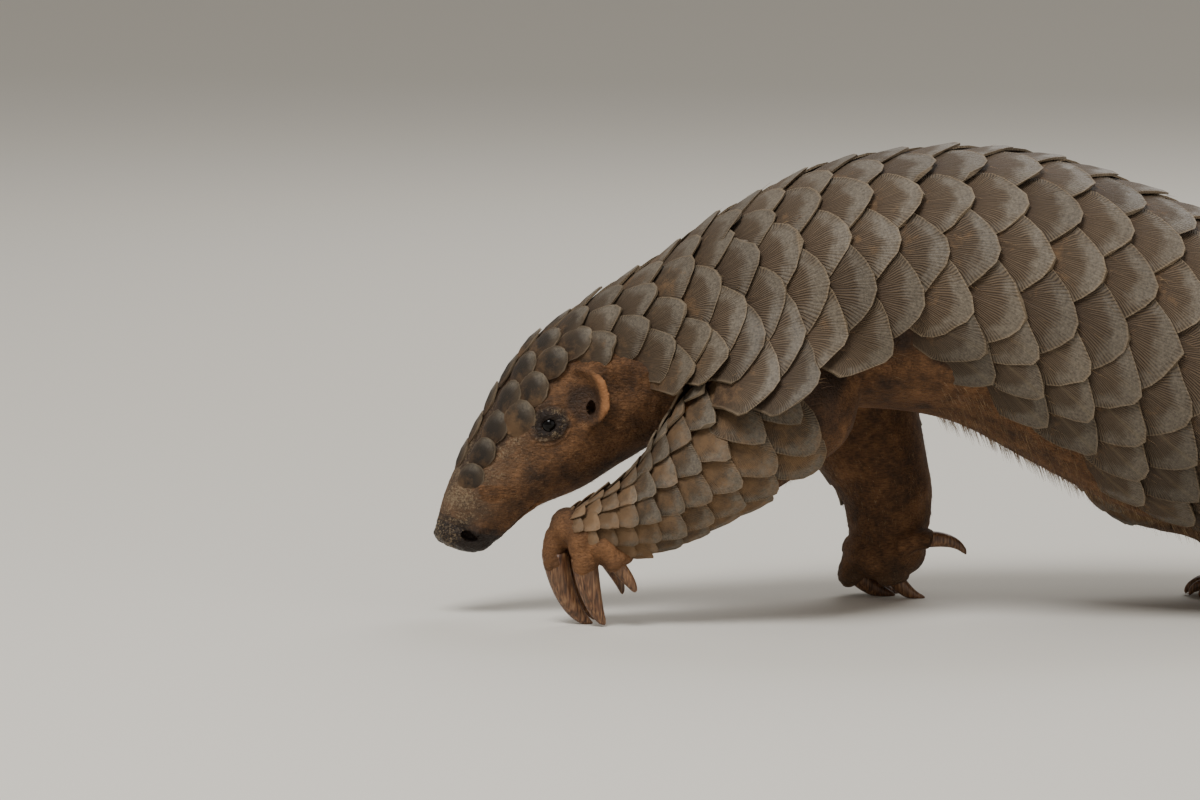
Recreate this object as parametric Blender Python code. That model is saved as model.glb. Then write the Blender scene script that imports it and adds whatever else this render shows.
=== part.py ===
"""A life-size still model of a Chinese pangolin in mid step, with its head lowered.

Metres, +Z up. The animal faces -X, its left side is at -Y, and it stands on z = 0.
The origin is the middle of the floor under its outer box. The flesh is modelled whole
and then parted by thin cuts, so every part meets its neighbour face to face.
"""

import math
import random

import bmesh
import bpy
import numpy as np
from mathutils import Matrix, Vector
from mathutils.bvhtree import BVHTree

# Driving dimensions
GAP = 0.0003
SEED = 11
TRUNK_SIDES = 18
TRUNK_RING_STEPS = ((0.0, 0.015), (0.12, 0.020), (0.20, 0.032), (0.749, 0.032))
LIMB_SIDES = 10
LIMB_RING_STEPS = ((0.0, 0.018), (0.20, 0.018))
DIGIT_SIDES = 6
CLAW_SIDES = 6
BOXINESS = 0.92
LIMB_MARGIN = 0.0065

# Each row of a trunk or a limb: upper or front edge x, z, lower or back edge x, z,
# middle y, half width. The rows run from the nose to the tail tip, or down a limb.
TRUNK = (
    (-0.347, 0.036, -0.323, 0.029, -0.0150, 0.0090),
    (-0.341, 0.057, -0.306, 0.045, -0.0130, 0.0150),
    (-0.328, 0.084, -0.281, 0.056, -0.0100, 0.0215),
    (-0.309, 0.115, -0.260, 0.069, -0.0070, 0.0280),
    (-0.282, 0.136, -0.242, 0.078, -0.0040, 0.0330),
    (-0.249, 0.155, -0.224, 0.081, -0.0010, 0.0420),
    (-0.215, 0.178, -0.198, 0.084, 0.0000, 0.0515),
    (-0.172, 0.197, -0.165, 0.090, 0.0000, 0.0590),
    (-0.120, 0.204, -0.122, 0.085, 0.0000, 0.0645),
    (-0.075, 0.200, -0.082, 0.065, 0.0000, 0.0670),
    (-0.031, 0.185, -0.040, 0.044, 0.0000, 0.0670),
    (0.012, 0.165, 0.004, 0.033, 0.0000, 0.0640),
    (0.056, 0.132, 0.051, 0.029, 0.0010, 0.0575),
    (0.104, 0.093, 0.101, 0.019, 0.0030, 0.0520),
    (0.159, 0.058, 0.158, 0.0065, 0.0080, 0.0460),
    (0.222, 0.031, 0.222, 0.0040, 0.0170, 0.0380),
    (0.287, 0.018, 0.287, 0.0035, 0.0300, 0.0260),
    (0.336, 0.011, 0.336, 0.0030, 0.0415, 0.0115),
    (0.345, 0.008, 0.345, 0.0035, 0.0440, 0.0050),
)
FORELEG_LEFT = (
    (-0.212, 0.148, -0.156, 0.122, -0.026, 0.0200),
    (-0.224, 0.121, -0.163, 0.082, -0.041, 0.0275),
    (-0.233, 0.106, -0.187, 0.063, -0.045, 0.0265),
    (-0.245, 0.089, -0.211, 0.049, -0.047, 0.0240),
    (-0.256, 0.073, -0.235, 0.037, -0.049, 0.0205),
    (-0.267, 0.062, -0.253, 0.031, -0.050, 0.0175),
    (-0.280, 0.054, -0.270, 0.028, -0.050, 0.0150),
    (-0.288, 0.049, -0.280, 0.028, -0.050, 0.0130),
)
FORELEG_RIGHT = (
    (-0.194, 0.122, -0.136, 0.126, 0.028, 0.0200),
    (-0.191, 0.086, -0.131, 0.090, 0.046, 0.0255),
    (-0.182, 0.063, -0.127, 0.067, 0.048, 0.0245),
    (-0.169, 0.046, -0.124, 0.048, 0.049, 0.0215),
    (-0.165, 0.033, -0.125, 0.033, 0.049, 0.0195),
    (-0.164, 0.020, -0.129, 0.020, 0.049, 0.0180),
)
HINDLEG_LEFT = (
    (0.004, 0.122, 0.066, 0.110, -0.030, 0.0200),
    (-0.004, 0.088, 0.078, 0.080, -0.047, 0.0270),
    (0.004, 0.060, 0.078, 0.058, -0.051, 0.0265),
    (0.018, 0.040, 0.078, 0.040, -0.052, 0.0225),
    (0.034, 0.026, 0.080, 0.026, -0.052, 0.0185),
    (0.042, 0.012, 0.080, 0.012, -0.052, 0.0160),
)
HINDLEG_RIGHT = (
    (-0.040, 0.118, 0.030, 0.112, 0.030, 0.0200),
    (-0.064, 0.076, 0.018, 0.080, 0.047, 0.0270),
    (-0.060, 0.050, 0.016, 0.060, 0.051, 0.0265),
    (-0.040, 0.033, 0.022, 0.044, 0.052, 0.0225),
    (-0.010, 0.025, 0.032, 0.030, 0.052, 0.0185),
    (0.000, 0.012, 0.036, 0.014, 0.052, 0.0160),
)

# Where the trunk is parted: upper x, z and lower x, z of each cut.
HEAD_CUT = (-0.262, 0.148, -0.238, 0.079)
NECK_CUT = (-0.207, 0.184, -0.193, 0.086)
CHEST_CUT = (-0.112, 0.204, -0.114, 0.084)
TORSO_CUT = (0.088, 0.106, 0.084, 0.024)
TAIL_ROOT_CUT = (0.168, 0.055, 0.166, 0.006)
TAIL_MIDDLE_CUT = (0.252, 0.026, 0.252, 0.003)

# Wrist and ankle cuts, as the outline of the foot's side in x and z.
FOREFOOT_LEFT_OUTLINE = (
    (-0.330, 0.085), (-0.285, 0.066), (-0.266, 0.029), (-0.230, 0.026), (-0.230, -0.02), (-0.330, -0.02),
)
FOREFOOT_RIGHT_OUTLINE = ((-0.230, 0.031), (-0.080, 0.031), (-0.080, -0.02), (-0.230, -0.02))
HINDFOOT_OUTLINE = ((-0.120, 0.021), (0.160, 0.021), (0.160, -0.02), (-0.120, -0.02))

# Boxes that hold each foot with its digits: lowest and highest corner.
FOREFOOT_LEFT_BOX = ((-0.308, -0.078, -0.02), (-0.243, -0.026, 0.050))
FOREFOOT_RIGHT_BOX = ((-0.185, 0.018, -0.02), (-0.100, 0.080, 0.034))
HINDFOOT_LEFT_BOX = ((0.018, -0.082, -0.02), (0.100, -0.024, 0.024))
HINDFOOT_RIGHT_BOX = ((-0.016, 0.024, -0.02), (0.060, 0.082, 0.024))

# How far down each limb its own node begins, as a share of its length.
LEG_START = {"foreleg_left": 0.16, "foreleg_right": 0.2, "hindleg_left": 0.16, "hindleg_right": 0.16}

# Each digit: name, y, flesh line in x and z, flesh radius, claw line in x and z, claw radius.
FOREFOOT_LEFT_DIGITS = (
    ("first", -0.0370, ((-0.278, 0.037), (-0.271, 0.030), (-0.268, 0.024)), 0.0048,
     ((-0.2690, 0.0260), (-0.2640, 0.0185), (-0.2620, 0.0115)), 0.0021),
    ("second", -0.0430, ((-0.285, 0.042), (-0.289, 0.031), (-0.2855, 0.0225)), 0.0056,
     ((-0.2870, 0.0260), (-0.2825, 0.0105), (-0.2750, 0.0012)), 0.0027),
    ("third", -0.0505, ((-0.288, 0.043), (-0.2920, 0.032), (-0.2875, 0.0215)), 0.0062,
     ((-0.2895, 0.0255), (-0.2835, 0.0085), (-0.2730, -0.0008)), 0.0033),
    ("fourth", -0.0580, ((-0.284, 0.042), (-0.2840, 0.033), (-0.2800, 0.0235)), 0.0056,
     ((-0.2815, 0.0265), (-0.2775, 0.0120), (-0.2715, 0.0025)), 0.0027),
    ("fifth", -0.0640, ((-0.277, 0.039), (-0.269, 0.031), (-0.265, 0.0245)), 0.0046,
     ((-0.2660, 0.0265), (-0.2610, 0.0190), (-0.2590, 0.0130)), 0.0020),
)
FOREFOOT_RIGHT_DIGITS = (
    ("first", 0.0330, ((-0.142, 0.024), (-0.132, 0.0270), (-0.1255, 0.0268)), 0.0052,
     ((-0.1285, 0.0270), (-0.1180, 0.0262), (-0.1110, 0.0205)), 0.0024),
    ("second", 0.0395, ((-0.146, 0.020), (-0.1440, 0.013), (-0.1430, 0.0080)), 0.0082,
     ((-0.1440, 0.0062), (-0.1365, 0.0030), (-0.1290, 0.0004)), 0.0025),
    ("third", 0.0480, ((-0.154, 0.020), (-0.1600, 0.013), (-0.1590, 0.0080)), 0.0084,
     ((-0.1600, 0.0064), (-0.1510, 0.0034), (-0.1420, 0.0004)), 0.0031),
    ("fourth", 0.0565, ((-0.151, 0.020), (-0.1560, 0.013), (-0.1550, 0.0076)), 0.0078,
     ((-0.1560, 0.0060), (-0.1480, 0.0030), (-0.1400, 0.0004)), 0.0025),
    ("fifth", 0.0630, ((-0.146, 0.020), (-0.1480, 0.013), (-0.1460, 0.0066)), 0.0066,
     ((-0.1470, 0.0054), (-0.1405, 0.0028), (-0.1350, 0.0004)), 0.0019),
)
PALM_LEFT = ((-0.2815, -0.0500, 0.0410), (0.0140, 0.0165, 0.0098))
PALM_RIGHT = ((-0.1470, 0.0490, 0.0200), (0.0190, 0.0185, 0.0130))

# The sole of a hind foot from its heel: distance ahead, height, upright and sideways radius.
SOLE = (
    (0.0, 0.0085, 0.0050, 0.0070), (0.004, 0.0085, 0.0093, 0.0125), (0.018, 0.0085, 0.0098, 0.0150),
    (0.032, 0.0080, 0.0092, 0.0170), (0.039, 0.0065, 0.0065, 0.0140),
)
HEEL_LEFT = (0.081, -0.052)
HEEL_RIGHT = (0.038, 0.052)
# Each hind digit: name, sideways place outward, and how far its flesh reaches ahead of the heel.
HIND_DIGITS = (
    ("first", -0.0125, 0.0385), ("second", -0.0065, 0.0425), ("third", 0.0, 0.0440),
    ("fourth", 0.0065, 0.0425), ("fifth", 0.0125, 0.0385),
)
HIND_DIGIT_RADIUS = 0.0040
HIND_CLAW_RADIUS = 0.0019
HIND_CLAW_LENGTH = 0.0070

# Eyes, ears, nose and mouth.
EYE_RADIUS = 0.0043
EYE_X = -0.296
EYE_Z = 0.0855
EYE_SINK = 0.0012
LID_RADIUS = 0.0052
LID_THICKNESS = 0.0015
LID_STRETCH = (1.25, 0.9, 1.0)
LID_RISE = 0.0022
LID_SIDES = (12, 6)
EYE_SIDES = (12, 8)
EAR_X = -0.2855
EAR_Z = 0.0995
EAR_RADIUS = 0.0125
EAR_HEIGHT = 0.0085
EAR_THICKNESS = 0.0022
EAR_TOP_ANGLE = 100.0
EAR_BOTTOM_ANGLE = -78.0
EAR_SINK = 0.003
EAR_HOLE = (0.0055, 0.0032, 0.0075)
EAR_HOLE_SHIFT = (0.002, -0.003)
NOSTRIL = (0.0030, 0.0024, 0.0022)
NOSTRIL_PLACE = (0.0045, 96.0)
HOLLOW_SIDES = (10, 7)
MOUTH_WIDTH = 0.0011
MOUTH_POINTS = 9
MOUTH_FRONT = 0.009
MOUTH_REACH = 0.026
MOUTH_SPAN = 38.0
MOUTH_DEPTH = 0.0004
LIP_RADIUS = 0.0017
LIP_SHIFT = 0.0026
LIP_END = 0.45

# Scales. A row's place is given on one side, counted from the middle of the back, as
# how far its scales lag the even rows in pitches, the points (length along, degrees
# round) that it runs through, and whether the other side has it too.
SCALE_ANCHOR = 0.2872
TAIL_TIP = 0.749
SCALE_PITCH = (
    (0.030, 0.0205), (0.110, 0.0215), (0.170, 0.0240), (0.210, 0.0285), (0.290, 0.0325),
    (0.430, 0.0330), (0.500, 0.0320), (0.600, 0.0300), (0.745, 0.0220),
)
SCALE_ROWS = (
    (0.75, ((0.041, 0), (0.732, 0)), False),
    (0.25, ((0.033, 54), (0.050, 46), (0.070, 38), (0.095, 26), (0.140, 23), (0.300, 24), (0.722, 26)), True),
    (0.0, ((0.066, 61), (0.098, 48), (0.140, 42), (0.170, 36), (0.205, 40), (0.250, 48), (0.300, 46),
           (0.360, 42), (0.480, 48), (0.722, 56)), True),
    (0.5, ((0.106, 62), (0.140, 65), (0.175, 57), (0.205, 62), (0.254, 73), (0.300, 67), (0.360, 62),
           (0.480, 74), (0.600, 86), (0.722, 92)), True),
    (0.0, ((0.122, 82), (0.150, 86), (0.170, 79), (0.205, 84), (0.250, 95), (0.300, 88), (0.360, 83),
           (0.470, 100)), True),
    (0.4, ((0.140, 100), (0.171, 98), (0.205, 108), (0.225, 115)), True),
    (0.4, ((0.268, 110), (0.300, 106), (0.360, 104), (0.470, 126)), True),
    (0.0, ((0.290, 126), (0.360, 128), (0.460, 152)), True),
    (0.0, ((0.500, 114), (0.600, 130), (0.715, 138)), True),
    (0.5, ((0.490, 180), (0.710, 180)), False),
)
SCALE_TURN = ((75, 0), (95, 10), (112, 20), (130, 28), (150, 20), (180, 0))
SCALE_TURN_END = (0.44, 0.49)
# A scale's outline from its tip: forward in pitches, sideways in half widths, lift.
SCALE_OUTLINE = (
    (0.00, 0.00, 0.0026), (0.62, 1.12, 0.0000), (1.75, 0.00, -0.0022), (0.62, -1.12, 0.0000),
)
SCALE_ROOT_DEPTH = 0.0060
# The flesh under the scales lies this deep under the outline that the rows give.
CORE_DEPTH = 0.0026
LIMB_CORE_DEPTH = 0.0016
TIP_CORE_DEPTH = 0.0010
CORE_START = 0.050
CORE_FULL = 0.110
FLOOR_CLEARANCE = 0.0010
DRAPE_REACH = 0.014
SMALL_SCALE_PITCH = 0.0145
SMALL_SCALE_LIFT = 0.75
# Scales on each limb: pitch, half width, the way they point at a few lengths (degrees from
# straight down the limb towards its back edge), the stretch of its length that they cover,
# and the span of degrees round it from its front edge.
LIMB_SCALES = {
    "foreleg_left": (0.0250, 0.0165, ((0.030, 60), (0.075, 125), (0.142, 133)), (0.042, 0.142), (-40, 185)),
    "foreleg_right": (0.0255, 0.0175, ((0.050, 50), (0.100, 50)), (0.052, 0.100), (-20, 140)),
    "hindleg_left": (0.0255, 0.0180, ((0.040, 45), (0.096, 35)), (0.040, 0.096), (-25, 140)),
    "hindleg_right": (0.0255, 0.0180, ((0.040, 45), (0.096, 35)), (0.040, 0.096), (-25, 140)),
}
SCALE_VARIATION = 0.06
SCALE_SWAY = 0.012
# Rows count as neighbours of a scale from this far past their ends, and from this angle away.
ROW_REACH = 0.012
LEAST_GAP = math.radians(6)
WIDEST_SHARE = 1.2
LEAST_GIRTH_RATE = 0.006
# The rows of a limb's scales that are tried on each side of its middle, and their size at its end.
LIMB_ROW_REACH = 9
LIMB_TAPER = 0.72

SKIN_COLOUR = (0.33, 0.17, 0.09)
SCALE_COLOUR = (0.25, 0.20, 0.15)
CLAW_COLOUR = (0.30, 0.17, 0.09)
EYE_COLOUR = (0.012, 0.010, 0.010)
EAR_COLOUR = (0.55, 0.27, 0.12)


def clear_scene():
    """Remove what the file holds at the start."""
    for obj in list(bpy.data.objects):
        bpy.data.objects.remove(obj)


def new_collection(name):
    made = bpy.data.collections.new(name)
    bpy.context.scene.collection.children.link(made)
    return made


def finish_material(name, colour, roughness):
    """A plain finish for one node."""
    made = bpy.data.materials.new(name)
    made.use_nodes = True
    shader = made.node_tree.nodes["Principled BSDF"]
    shader.inputs["Base Color"].default_value = (*colour, 1.0)
    shader.inputs["Roughness"].default_value = roughness
    shader.inputs["Metallic"].default_value = 0.0
    return made


def object_from(mesh_maker, name, collection):
    """A new object whose mesh is made by mesh_maker in a bmesh."""
    made = bmesh.new()
    mesh_maker(made)
    bmesh.ops.triangulate(made, faces=made.faces[:])
    bmesh.ops.recalc_face_normals(made, faces=made.faces[:])
    mesh = bpy.data.meshes.new(name)
    made.to_mesh(mesh)
    made.free()
    obj = bpy.data.objects.new(name, mesh)
    collection.objects.link(obj)
    return obj


def loft(name, rings, collection):
    """One closed solid through rings that have the same number of points."""

    def make(made):
        loops = [[made.verts.new(point) for point in ring] for ring in rings]
        count = len(rings[0])
        for near, far in zip(loops, loops[1:]):
            for i in range(count):
                k = (i + 1) % count
                made.faces.new((near[i], near[k], far[k], far[i]))
        made.faces.new(loops[0])
        made.faces.new(loops[-1])

    return object_from(make, name, collection)


def smooth_row(rows, place):
    """The row at a place between rows, on a smooth curve through them."""
    last = len(rows) - 1
    start = min(int(place), last - 1)
    share = place - start
    before, here, after, beyond = (rows[min(max(k, 0), last)] for k in range(start - 1, start + 3))
    return 0.5 * (
        2 * here
        + (after - before) * share
        + (2 * before - 5 * here + 4 * after - beyond) * share**2
        + (3 * here - before - 3 * after + beyond) * share**3
    )


def rounded(value):
    """A sine or cosine bent so that the section is a little fuller than an ellipse."""
    return math.copysign(abs(value) ** BOXINESS, value)


class Form:
    """The trunk or a limb: a surface with a place along it and an angle round it.

    Angle 0 is the upper or front edge, and 90 degrees is the side at -Y.
    """

    def __init__(self, rows):
        self.rows = np.array(rows)
        samples = 20 * (len(rows) - 1)
        self.places = np.linspace(0, len(rows) - 1, samples + 1)
        middles = np.array([self.middle(place) for place in self.places])
        steps = np.linalg.norm(np.diff(middles, axis=0), axis=1)
        self.lengths = np.concatenate(([0.0], np.cumsum(steps)))
        self.length = float(self.lengths[-1])

    def middle(self, place):
        x1, z1, x2, z2, y, _ = smooth_row(self.rows, place)
        return ((x1 + x2) / 2, y, (z1 + z2) / 2)

    def section(self, along):
        """Middle, half height as a vector, and half width at a length along the form."""
        place = float(np.interp(along, self.lengths, self.places))
        x1, z1, x2, z2, y, half_width = smooth_row(self.rows, place)
        middle = Vector(((x1 + x2) / 2, y, (z1 + z2) / 2))
        half = Vector(((x1 - x2) / 2, 0.0, (z1 - z2) / 2))
        return middle, half, half_width

    def point(self, along, angle, lift=0.0):
        """The surface point, and the direction straight out of the surface there."""
        middle, half, half_width = self.section(along)
        up, side = math.cos(angle), math.sin(angle)
        spot = middle + half * rounded(up) + Vector((0, -half_width * rounded(side), 0))
        out = half.normalized() * (up / half.length) + Vector((0, -side / half_width, 0))
        out.normalize()
        return spot + out * lift, out

    def girth_rate(self, along, angle):
        """Metres round the section for one radian at this angle."""
        _, half, half_width = self.section(along)
        return math.hypot(half.length * math.sin(angle), half_width * math.cos(angle))

    def ring(self, along, sides, grow):
        turns = (2 * math.pi * i / sides for i in range(sides))
        return [self.point(along, turn, grow)[0] for turn in turns]

    def solid(self, name, sides, steps, collection, start=0.0, grow=((0.0, 0.0),)):
        """The form as a closed solid from a start length to its end.

        A few (length, step) pairs space its rings, and (length, amount) pairs grow it outward.
        """
        stops = [start]
        while stops[-1] + 1.5 * between(steps, stops[-1]) < self.length:
            stops.append(stops[-1] + between(steps, stops[-1]))
        stops.append(self.length)
        return loft(name, [self.ring(stop, sides, between(grow, stop)) for stop in stops], collection)


def tube(name, centres, heights, widths, side, sides, collection):
    """A closed solid along a bent line, with an upright and a sideways radius at each point."""
    centres = [Vector(centre) for centre in centres]
    rings = []
    for i, centre in enumerate(centres):
        ahead = centres[min(i + 1, len(centres) - 1)] - centres[max(i - 1, 0)]
        across = (Vector(side) - Vector(side).project(ahead)).normalized()
        upright = across.cross(ahead).normalized()
        ring = []
        for k in range(sides):
            turn = 2 * math.pi * k / sides
            ring.append(centre + upright * heights[i] * math.cos(turn) + across * widths[i] * math.sin(turn))
        rings.append(ring)
    return loft(name, rings, collection)


def box(name, low, high, collection, grow=0.0):
    low = Vector(low) - Vector((grow, grow, grow))
    high = Vector(high) + Vector((grow, grow, grow))

    def make(made):
        bmesh.ops.create_cube(made, size=1.0)
        bmesh.ops.scale(made, vec=high - low, verts=made.verts[:])
        bmesh.ops.translate(made, vec=(low + high) / 2, verts=made.verts[:])

    return object_from(make, name, collection)


def ball(name, centre, radii, segments, rings, collection, turn=None):
    """A sphere stretched to three radii, turned and set in place."""

    def make(made):
        bmesh.ops.create_uvsphere(made, u_segments=segments, v_segments=rings, radius=1.0)
        bmesh.ops.scale(made, vec=radii, verts=made.verts[:])
        if turn is not None:
            bmesh.ops.rotate(made, matrix=turn, verts=made.verts[:])
        bmesh.ops.translate(made, vec=centre, verts=made.verts[:])

    return object_from(make, name, collection)


def prism(name, outline, collection, shift=(0.0, 0.0)):
    """A flat outline in x and z, as wide as the whole animal."""
    reach = 0.16

    def make(made):
        points = [made.verts.new((x + shift[0], -reach, z + shift[1])) for x, z in outline]
        face = made.faces.new(points)
        grown = bmesh.ops.extrude_face_region(made, geom=[face])
        moved = [item for item in grown["geom"] if isinstance(item, bmesh.types.BMVert)]
        bmesh.ops.translate(made, vec=(0, 2 * reach, 0), verts=moved)

    return object_from(make, name, collection)


def bake(obj):
    """Make what the modifiers give the object's own mesh."""
    graph = bpy.context.evaluated_depsgraph_get()
    graph.update()
    mesh = bpy.data.meshes.new_from_object(obj.evaluated_get(graph))
    obj.modifiers.clear()
    old = obj.data
    obj.data = mesh
    bpy.data.meshes.remove(old)


def combine(obj, other, operation):
    """Cut, join or meet obj with another closed solid, which stays as it is."""
    change = obj.modifiers.new(operation.title(), "BOOLEAN")
    change.operation = operation
    change.object = other
    # MANIFOLD joins hundreds of crossing plates in seconds, and every solid here is closed.
    change.solver = "MANIFOLD"
    bake(obj)


def join_collection(obj, pieces):
    """Join all the closed solids of a collection to obj, and remove them."""
    change = obj.modifiers.new("Join", "BOOLEAN")
    change.operation = "UNION"
    change.operand_type = "COLLECTION"
    change.collection = pieces
    change.solver = "MANIFOLD"
    bake(obj)
    for piece in list(pieces.objects):
        bpy.data.objects.remove(piece)


def copy_of(obj, name, collection):
    made = bpy.data.objects.new(name, obj.data.copy())
    collection.objects.link(made)
    return made


def keep_largest(obj):
    """Keep only the closed surface with the most faces."""
    made = bmesh.new()
    made.from_mesh(obj.data)
    unseen = set(made.verts)
    groups = []
    while unseen:
        group, queue = set(), [unseen.pop()]
        while queue:
            vert = queue.pop()
            group.add(vert)
            for edge in vert.link_edges:
                other = edge.other_vert(vert)
                if other in unseen:
                    unseen.discard(other)
                    queue.append(other)
        groups.append(group)
    groups.sort(key=len, reverse=True)
    for group in groups[1:]:
        bmesh.ops.delete(made, geom=list(group), context="VERTS")
    made.to_mesh(obj.data)
    made.free()


def finish_node(obj, name, material, collection):
    """Give a finished solid its name, its finish and its place in the model."""
    keep_largest(obj)
    obj.name = name
    obj.data.name = name
    obj.data.materials.clear()
    obj.data.materials.append(material)
    obj.data.shade_smooth()
    obj.data.set_sharp_from_angle(angle=math.radians(40))
    for held in list(obj.users_collection):
        held.objects.unlink(obj)
    collection.objects.link(obj)


def hind_digits(heel, outward):
    """The rows of a hind foot's digits, made the way the forefoot's are written."""
    rows = []
    for name, aside, ahead in HIND_DIGITS:
        x, y = heel[0] - ahead, heel[1] + outward * aside
        flesh = ((x + 0.014, 0.0075), (x + 0.006, 0.0065), (x + 0.001, 0.0050))
        claw = ((x + 0.003, 0.0056), (x - 0.003, 0.0044), (x - HIND_CLAW_LENGTH + 0.001, 0.0006))
        rows.append((name, y, flesh, HIND_DIGIT_RADIUS, claw, HIND_CLAW_RADIUS))
    return rows


def flesh_of_digit(row, collection):
    name, y, line, radius, _, _ = row
    ends = [(x, y, z) for x, z in line]
    last = Vector(ends[-1]) + (Vector(ends[-1]) - Vector(ends[-2])).normalized() * radius * 0.5
    centres = [ends[0], ends[1], last]
    radii = [radius, radius * 1.05, radius * 0.6]
    return tube("toe_" + name, centres, radii, radii, (0, 1, 0), DIGIT_SIDES, collection)


def claw_of_digit(row, collection, grow=0.0):
    """A curved claw that tapers to a blunt tip. Grown, it is the pocket it sits in."""
    name, y, _, _, line, radius = row
    root, middle, tip = (Vector((x, y, z)) for x, z in line)
    shares = (0.0, 0.35, 0.7, 1.0)
    bend = middle * 2 - (root + tip) / 2
    centres = [root * (1 - t) ** 2 + bend * 2 * t * (1 - t) + tip * t**2 for t in shares]
    centres[0] -= (centres[1] - centres[0]).normalized() * grow
    heights = [radius * (1 - 0.75 * t**1.6) + grow for t in shares]
    widths = [0.85 * height for height in heights]
    return tube("claw_" + name, centres, heights, widths, (0, 1, 0), CLAW_SIDES, collection)


def sole(heel, collection):
    centres = [(heel[0] - ahead, heel[1], z) for ahead, z, _, _ in SOLE]
    heights = [height for _, _, height, _ in SOLE]
    widths = [width for _, _, _, width in SOLE]
    return tube("sole", centres, heights, widths, (0, 1, 0), 8, collection)


def drape(tree, spot, out):
    """The point of the outline over or under a spot of the trunk, where a limb swells it a little."""
    found = tree.ray_cast(spot + out * DRAPE_REACH, -out, 2 * DRAPE_REACH)
    return found[0] if found[0] is not None else spot


def side_spot(tree, x, z, side):
    """Point and normal of the head's skin at x and z, on the left for side -1."""
    found = tree.ray_cast(Vector((x, side * 0.2, z)), Vector((0, -side, 0)))
    return found[0], found[1]


def tree_of(obj):
    made = bmesh.new()
    made.from_mesh(obj.data)
    tree = BVHTree.FromBMesh(made)
    made.free()
    return tree


def ear(name, tree, side, collection, grow=0.0):
    """A cupped rim that stands on an arc behind the ear hole, open to the front."""
    rings = []
    turns = np.radians(np.linspace(EAR_TOP_ANGLE, EAR_BOTTOM_ANGLE, 11))
    for turn in turns:
        outward = Vector((math.cos(turn), 0.0, math.sin(turn)))
        spot, _ = side_spot(tree, EAR_X + EAR_RADIUS * outward.x * 0.8, EAR_Z + EAR_RADIUS * outward.z, side)
        share = (turn - turns[-1]) / (turns[0] - turns[-1])
        height = EAR_HEIGHT * (0.25 + 0.75 * math.sin(math.pi * share**0.8)) + grow
        half = EAR_THICKNESS / 2 + grow
        away = Vector((0.25, side, 0)).normalized()
        root = spot - away * (EAR_SINK + grow)
        lip = half * 0.6
        shape = ((0.0, -half), (0.55, -half), (1.0, -lip), (1.0, lip), (0.55, half), (0.0, half))
        flare = outward * 0.35
        full = height + EAR_SINK + grow
        rings.append([root + (away + flare * rise) * full * rise + outward * aside for rise, aside in shape])
    return loft(name, rings, collection)


def head_pieces(form, tree, collection):
    """Lids round the eyes and lips along the mouth, which join the head."""
    for side in (-1, 1):
        centre, out = eye_place(tree, side)
        turn = out.to_track_quat("Z", "Y").to_matrix()

        def make(made, centre=centre, out=out, turn=turn):
            torus(made, LID_RADIUS, LID_THICKNESS, *LID_SIDES)
            bmesh.ops.scale(made, vec=LID_STRETCH, verts=made.verts[:])
            bmesh.ops.rotate(made, matrix=turn, verts=made.verts[:])
            bmesh.ops.translate(made, vec=centre + out * LID_RISE, verts=made.verts[:])

        object_from(make, "lids", collection)
    for shift in (-LIP_SHIFT, LIP_SHIFT):
        line = mouth_line(form, shift, -MOUTH_DEPTH)
        radii = [LIP_RADIUS * (LIP_END if i in (0, len(line) - 1) else 1.0) for i in range(len(line))]
        bent_tube("lip", line, radii, collection)


def torus(made, radius, thickness, around, across):
    """A ring in the plane z = 0."""
    loops = []
    for i in range(around):
        turn = 2 * math.pi * i / around
        ring = []
        for k in range(across):
            roll = 2 * math.pi * k / across
            reach = radius + thickness * math.cos(roll)
            spot = (reach * math.cos(turn), reach * math.sin(turn), thickness * math.sin(roll))
            ring.append(made.verts.new(spot))
        loops.append(ring)
    for i in range(around):
        near, far = loops[i], loops[(i + 1) % around]
        for k in range(across):
            n = (k + 1) % across
            made.faces.new((near[k], near[n], far[n], far[k]))


def eye_place(tree, side):
    """Centre of an eyeball, and the way it looks."""
    spot, out = side_spot(tree, EYE_X, EYE_Z, side)
    return spot - out * (EYE_RADIUS - EYE_SINK), out


def mouth_line(form, shift, lift):
    """Points along the slit of the mouth, moved aside by shift for the lips."""
    points = []
    for t in np.linspace(-1, 1, MOUTH_POINTS):
        reach = abs(t)
        along = MOUTH_FRONT + MOUTH_REACH * reach**1.6 + shift * (1 - reach)
        turn = math.pi - math.radians(MOUTH_SPAN) * reach**0.8
        turn += shift * reach / form.girth_rate(along, turn)
        points.append(form.point(along, math.copysign(turn, t if t else 1), lift)[0])
    return points


def bent_tube(name, line, radii, collection):
    """A round closed tube through points that bend in any direction."""
    rings = []
    for i, spot in enumerate(line):
        ahead = line[min(i + 1, len(line) - 1)] - line[max(i - 1, 0)]
        across = Vector((0.2, 0.0, -1.0)).cross(ahead).normalized()
        upright = ahead.cross(across).normalized()
        turns = [2 * math.pi * k / 6 for k in range(6)]
        rings.append([spot + (across * math.cos(a) + upright * math.sin(a)) * radii[i] for a in turns])
    return loft(name, rings, collection)


def between(points, value):
    """The value on straight lines between a few points."""
    return float(np.interp(value, [x for x, _ in points], [y for _, y in points]))


def scale_places(lag, first, last):
    """Lengths along the trunk where the scales of a row have their tips."""
    start = SCALE_ANCHOR + lag * between(SCALE_PITCH, SCALE_ANCHOR)
    places = []
    for way in (-1, 1):
        place = start if way > 0 else start - between(SCALE_PITCH, start)
        while 0.0 < place < TAIL_TIP:
            if first <= place <= last:
                places.append(place)
            place += way * between(SCALE_PITCH, place + way * 0.5 * between(SCALE_PITCH, place))
    return sorted(places)


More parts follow.
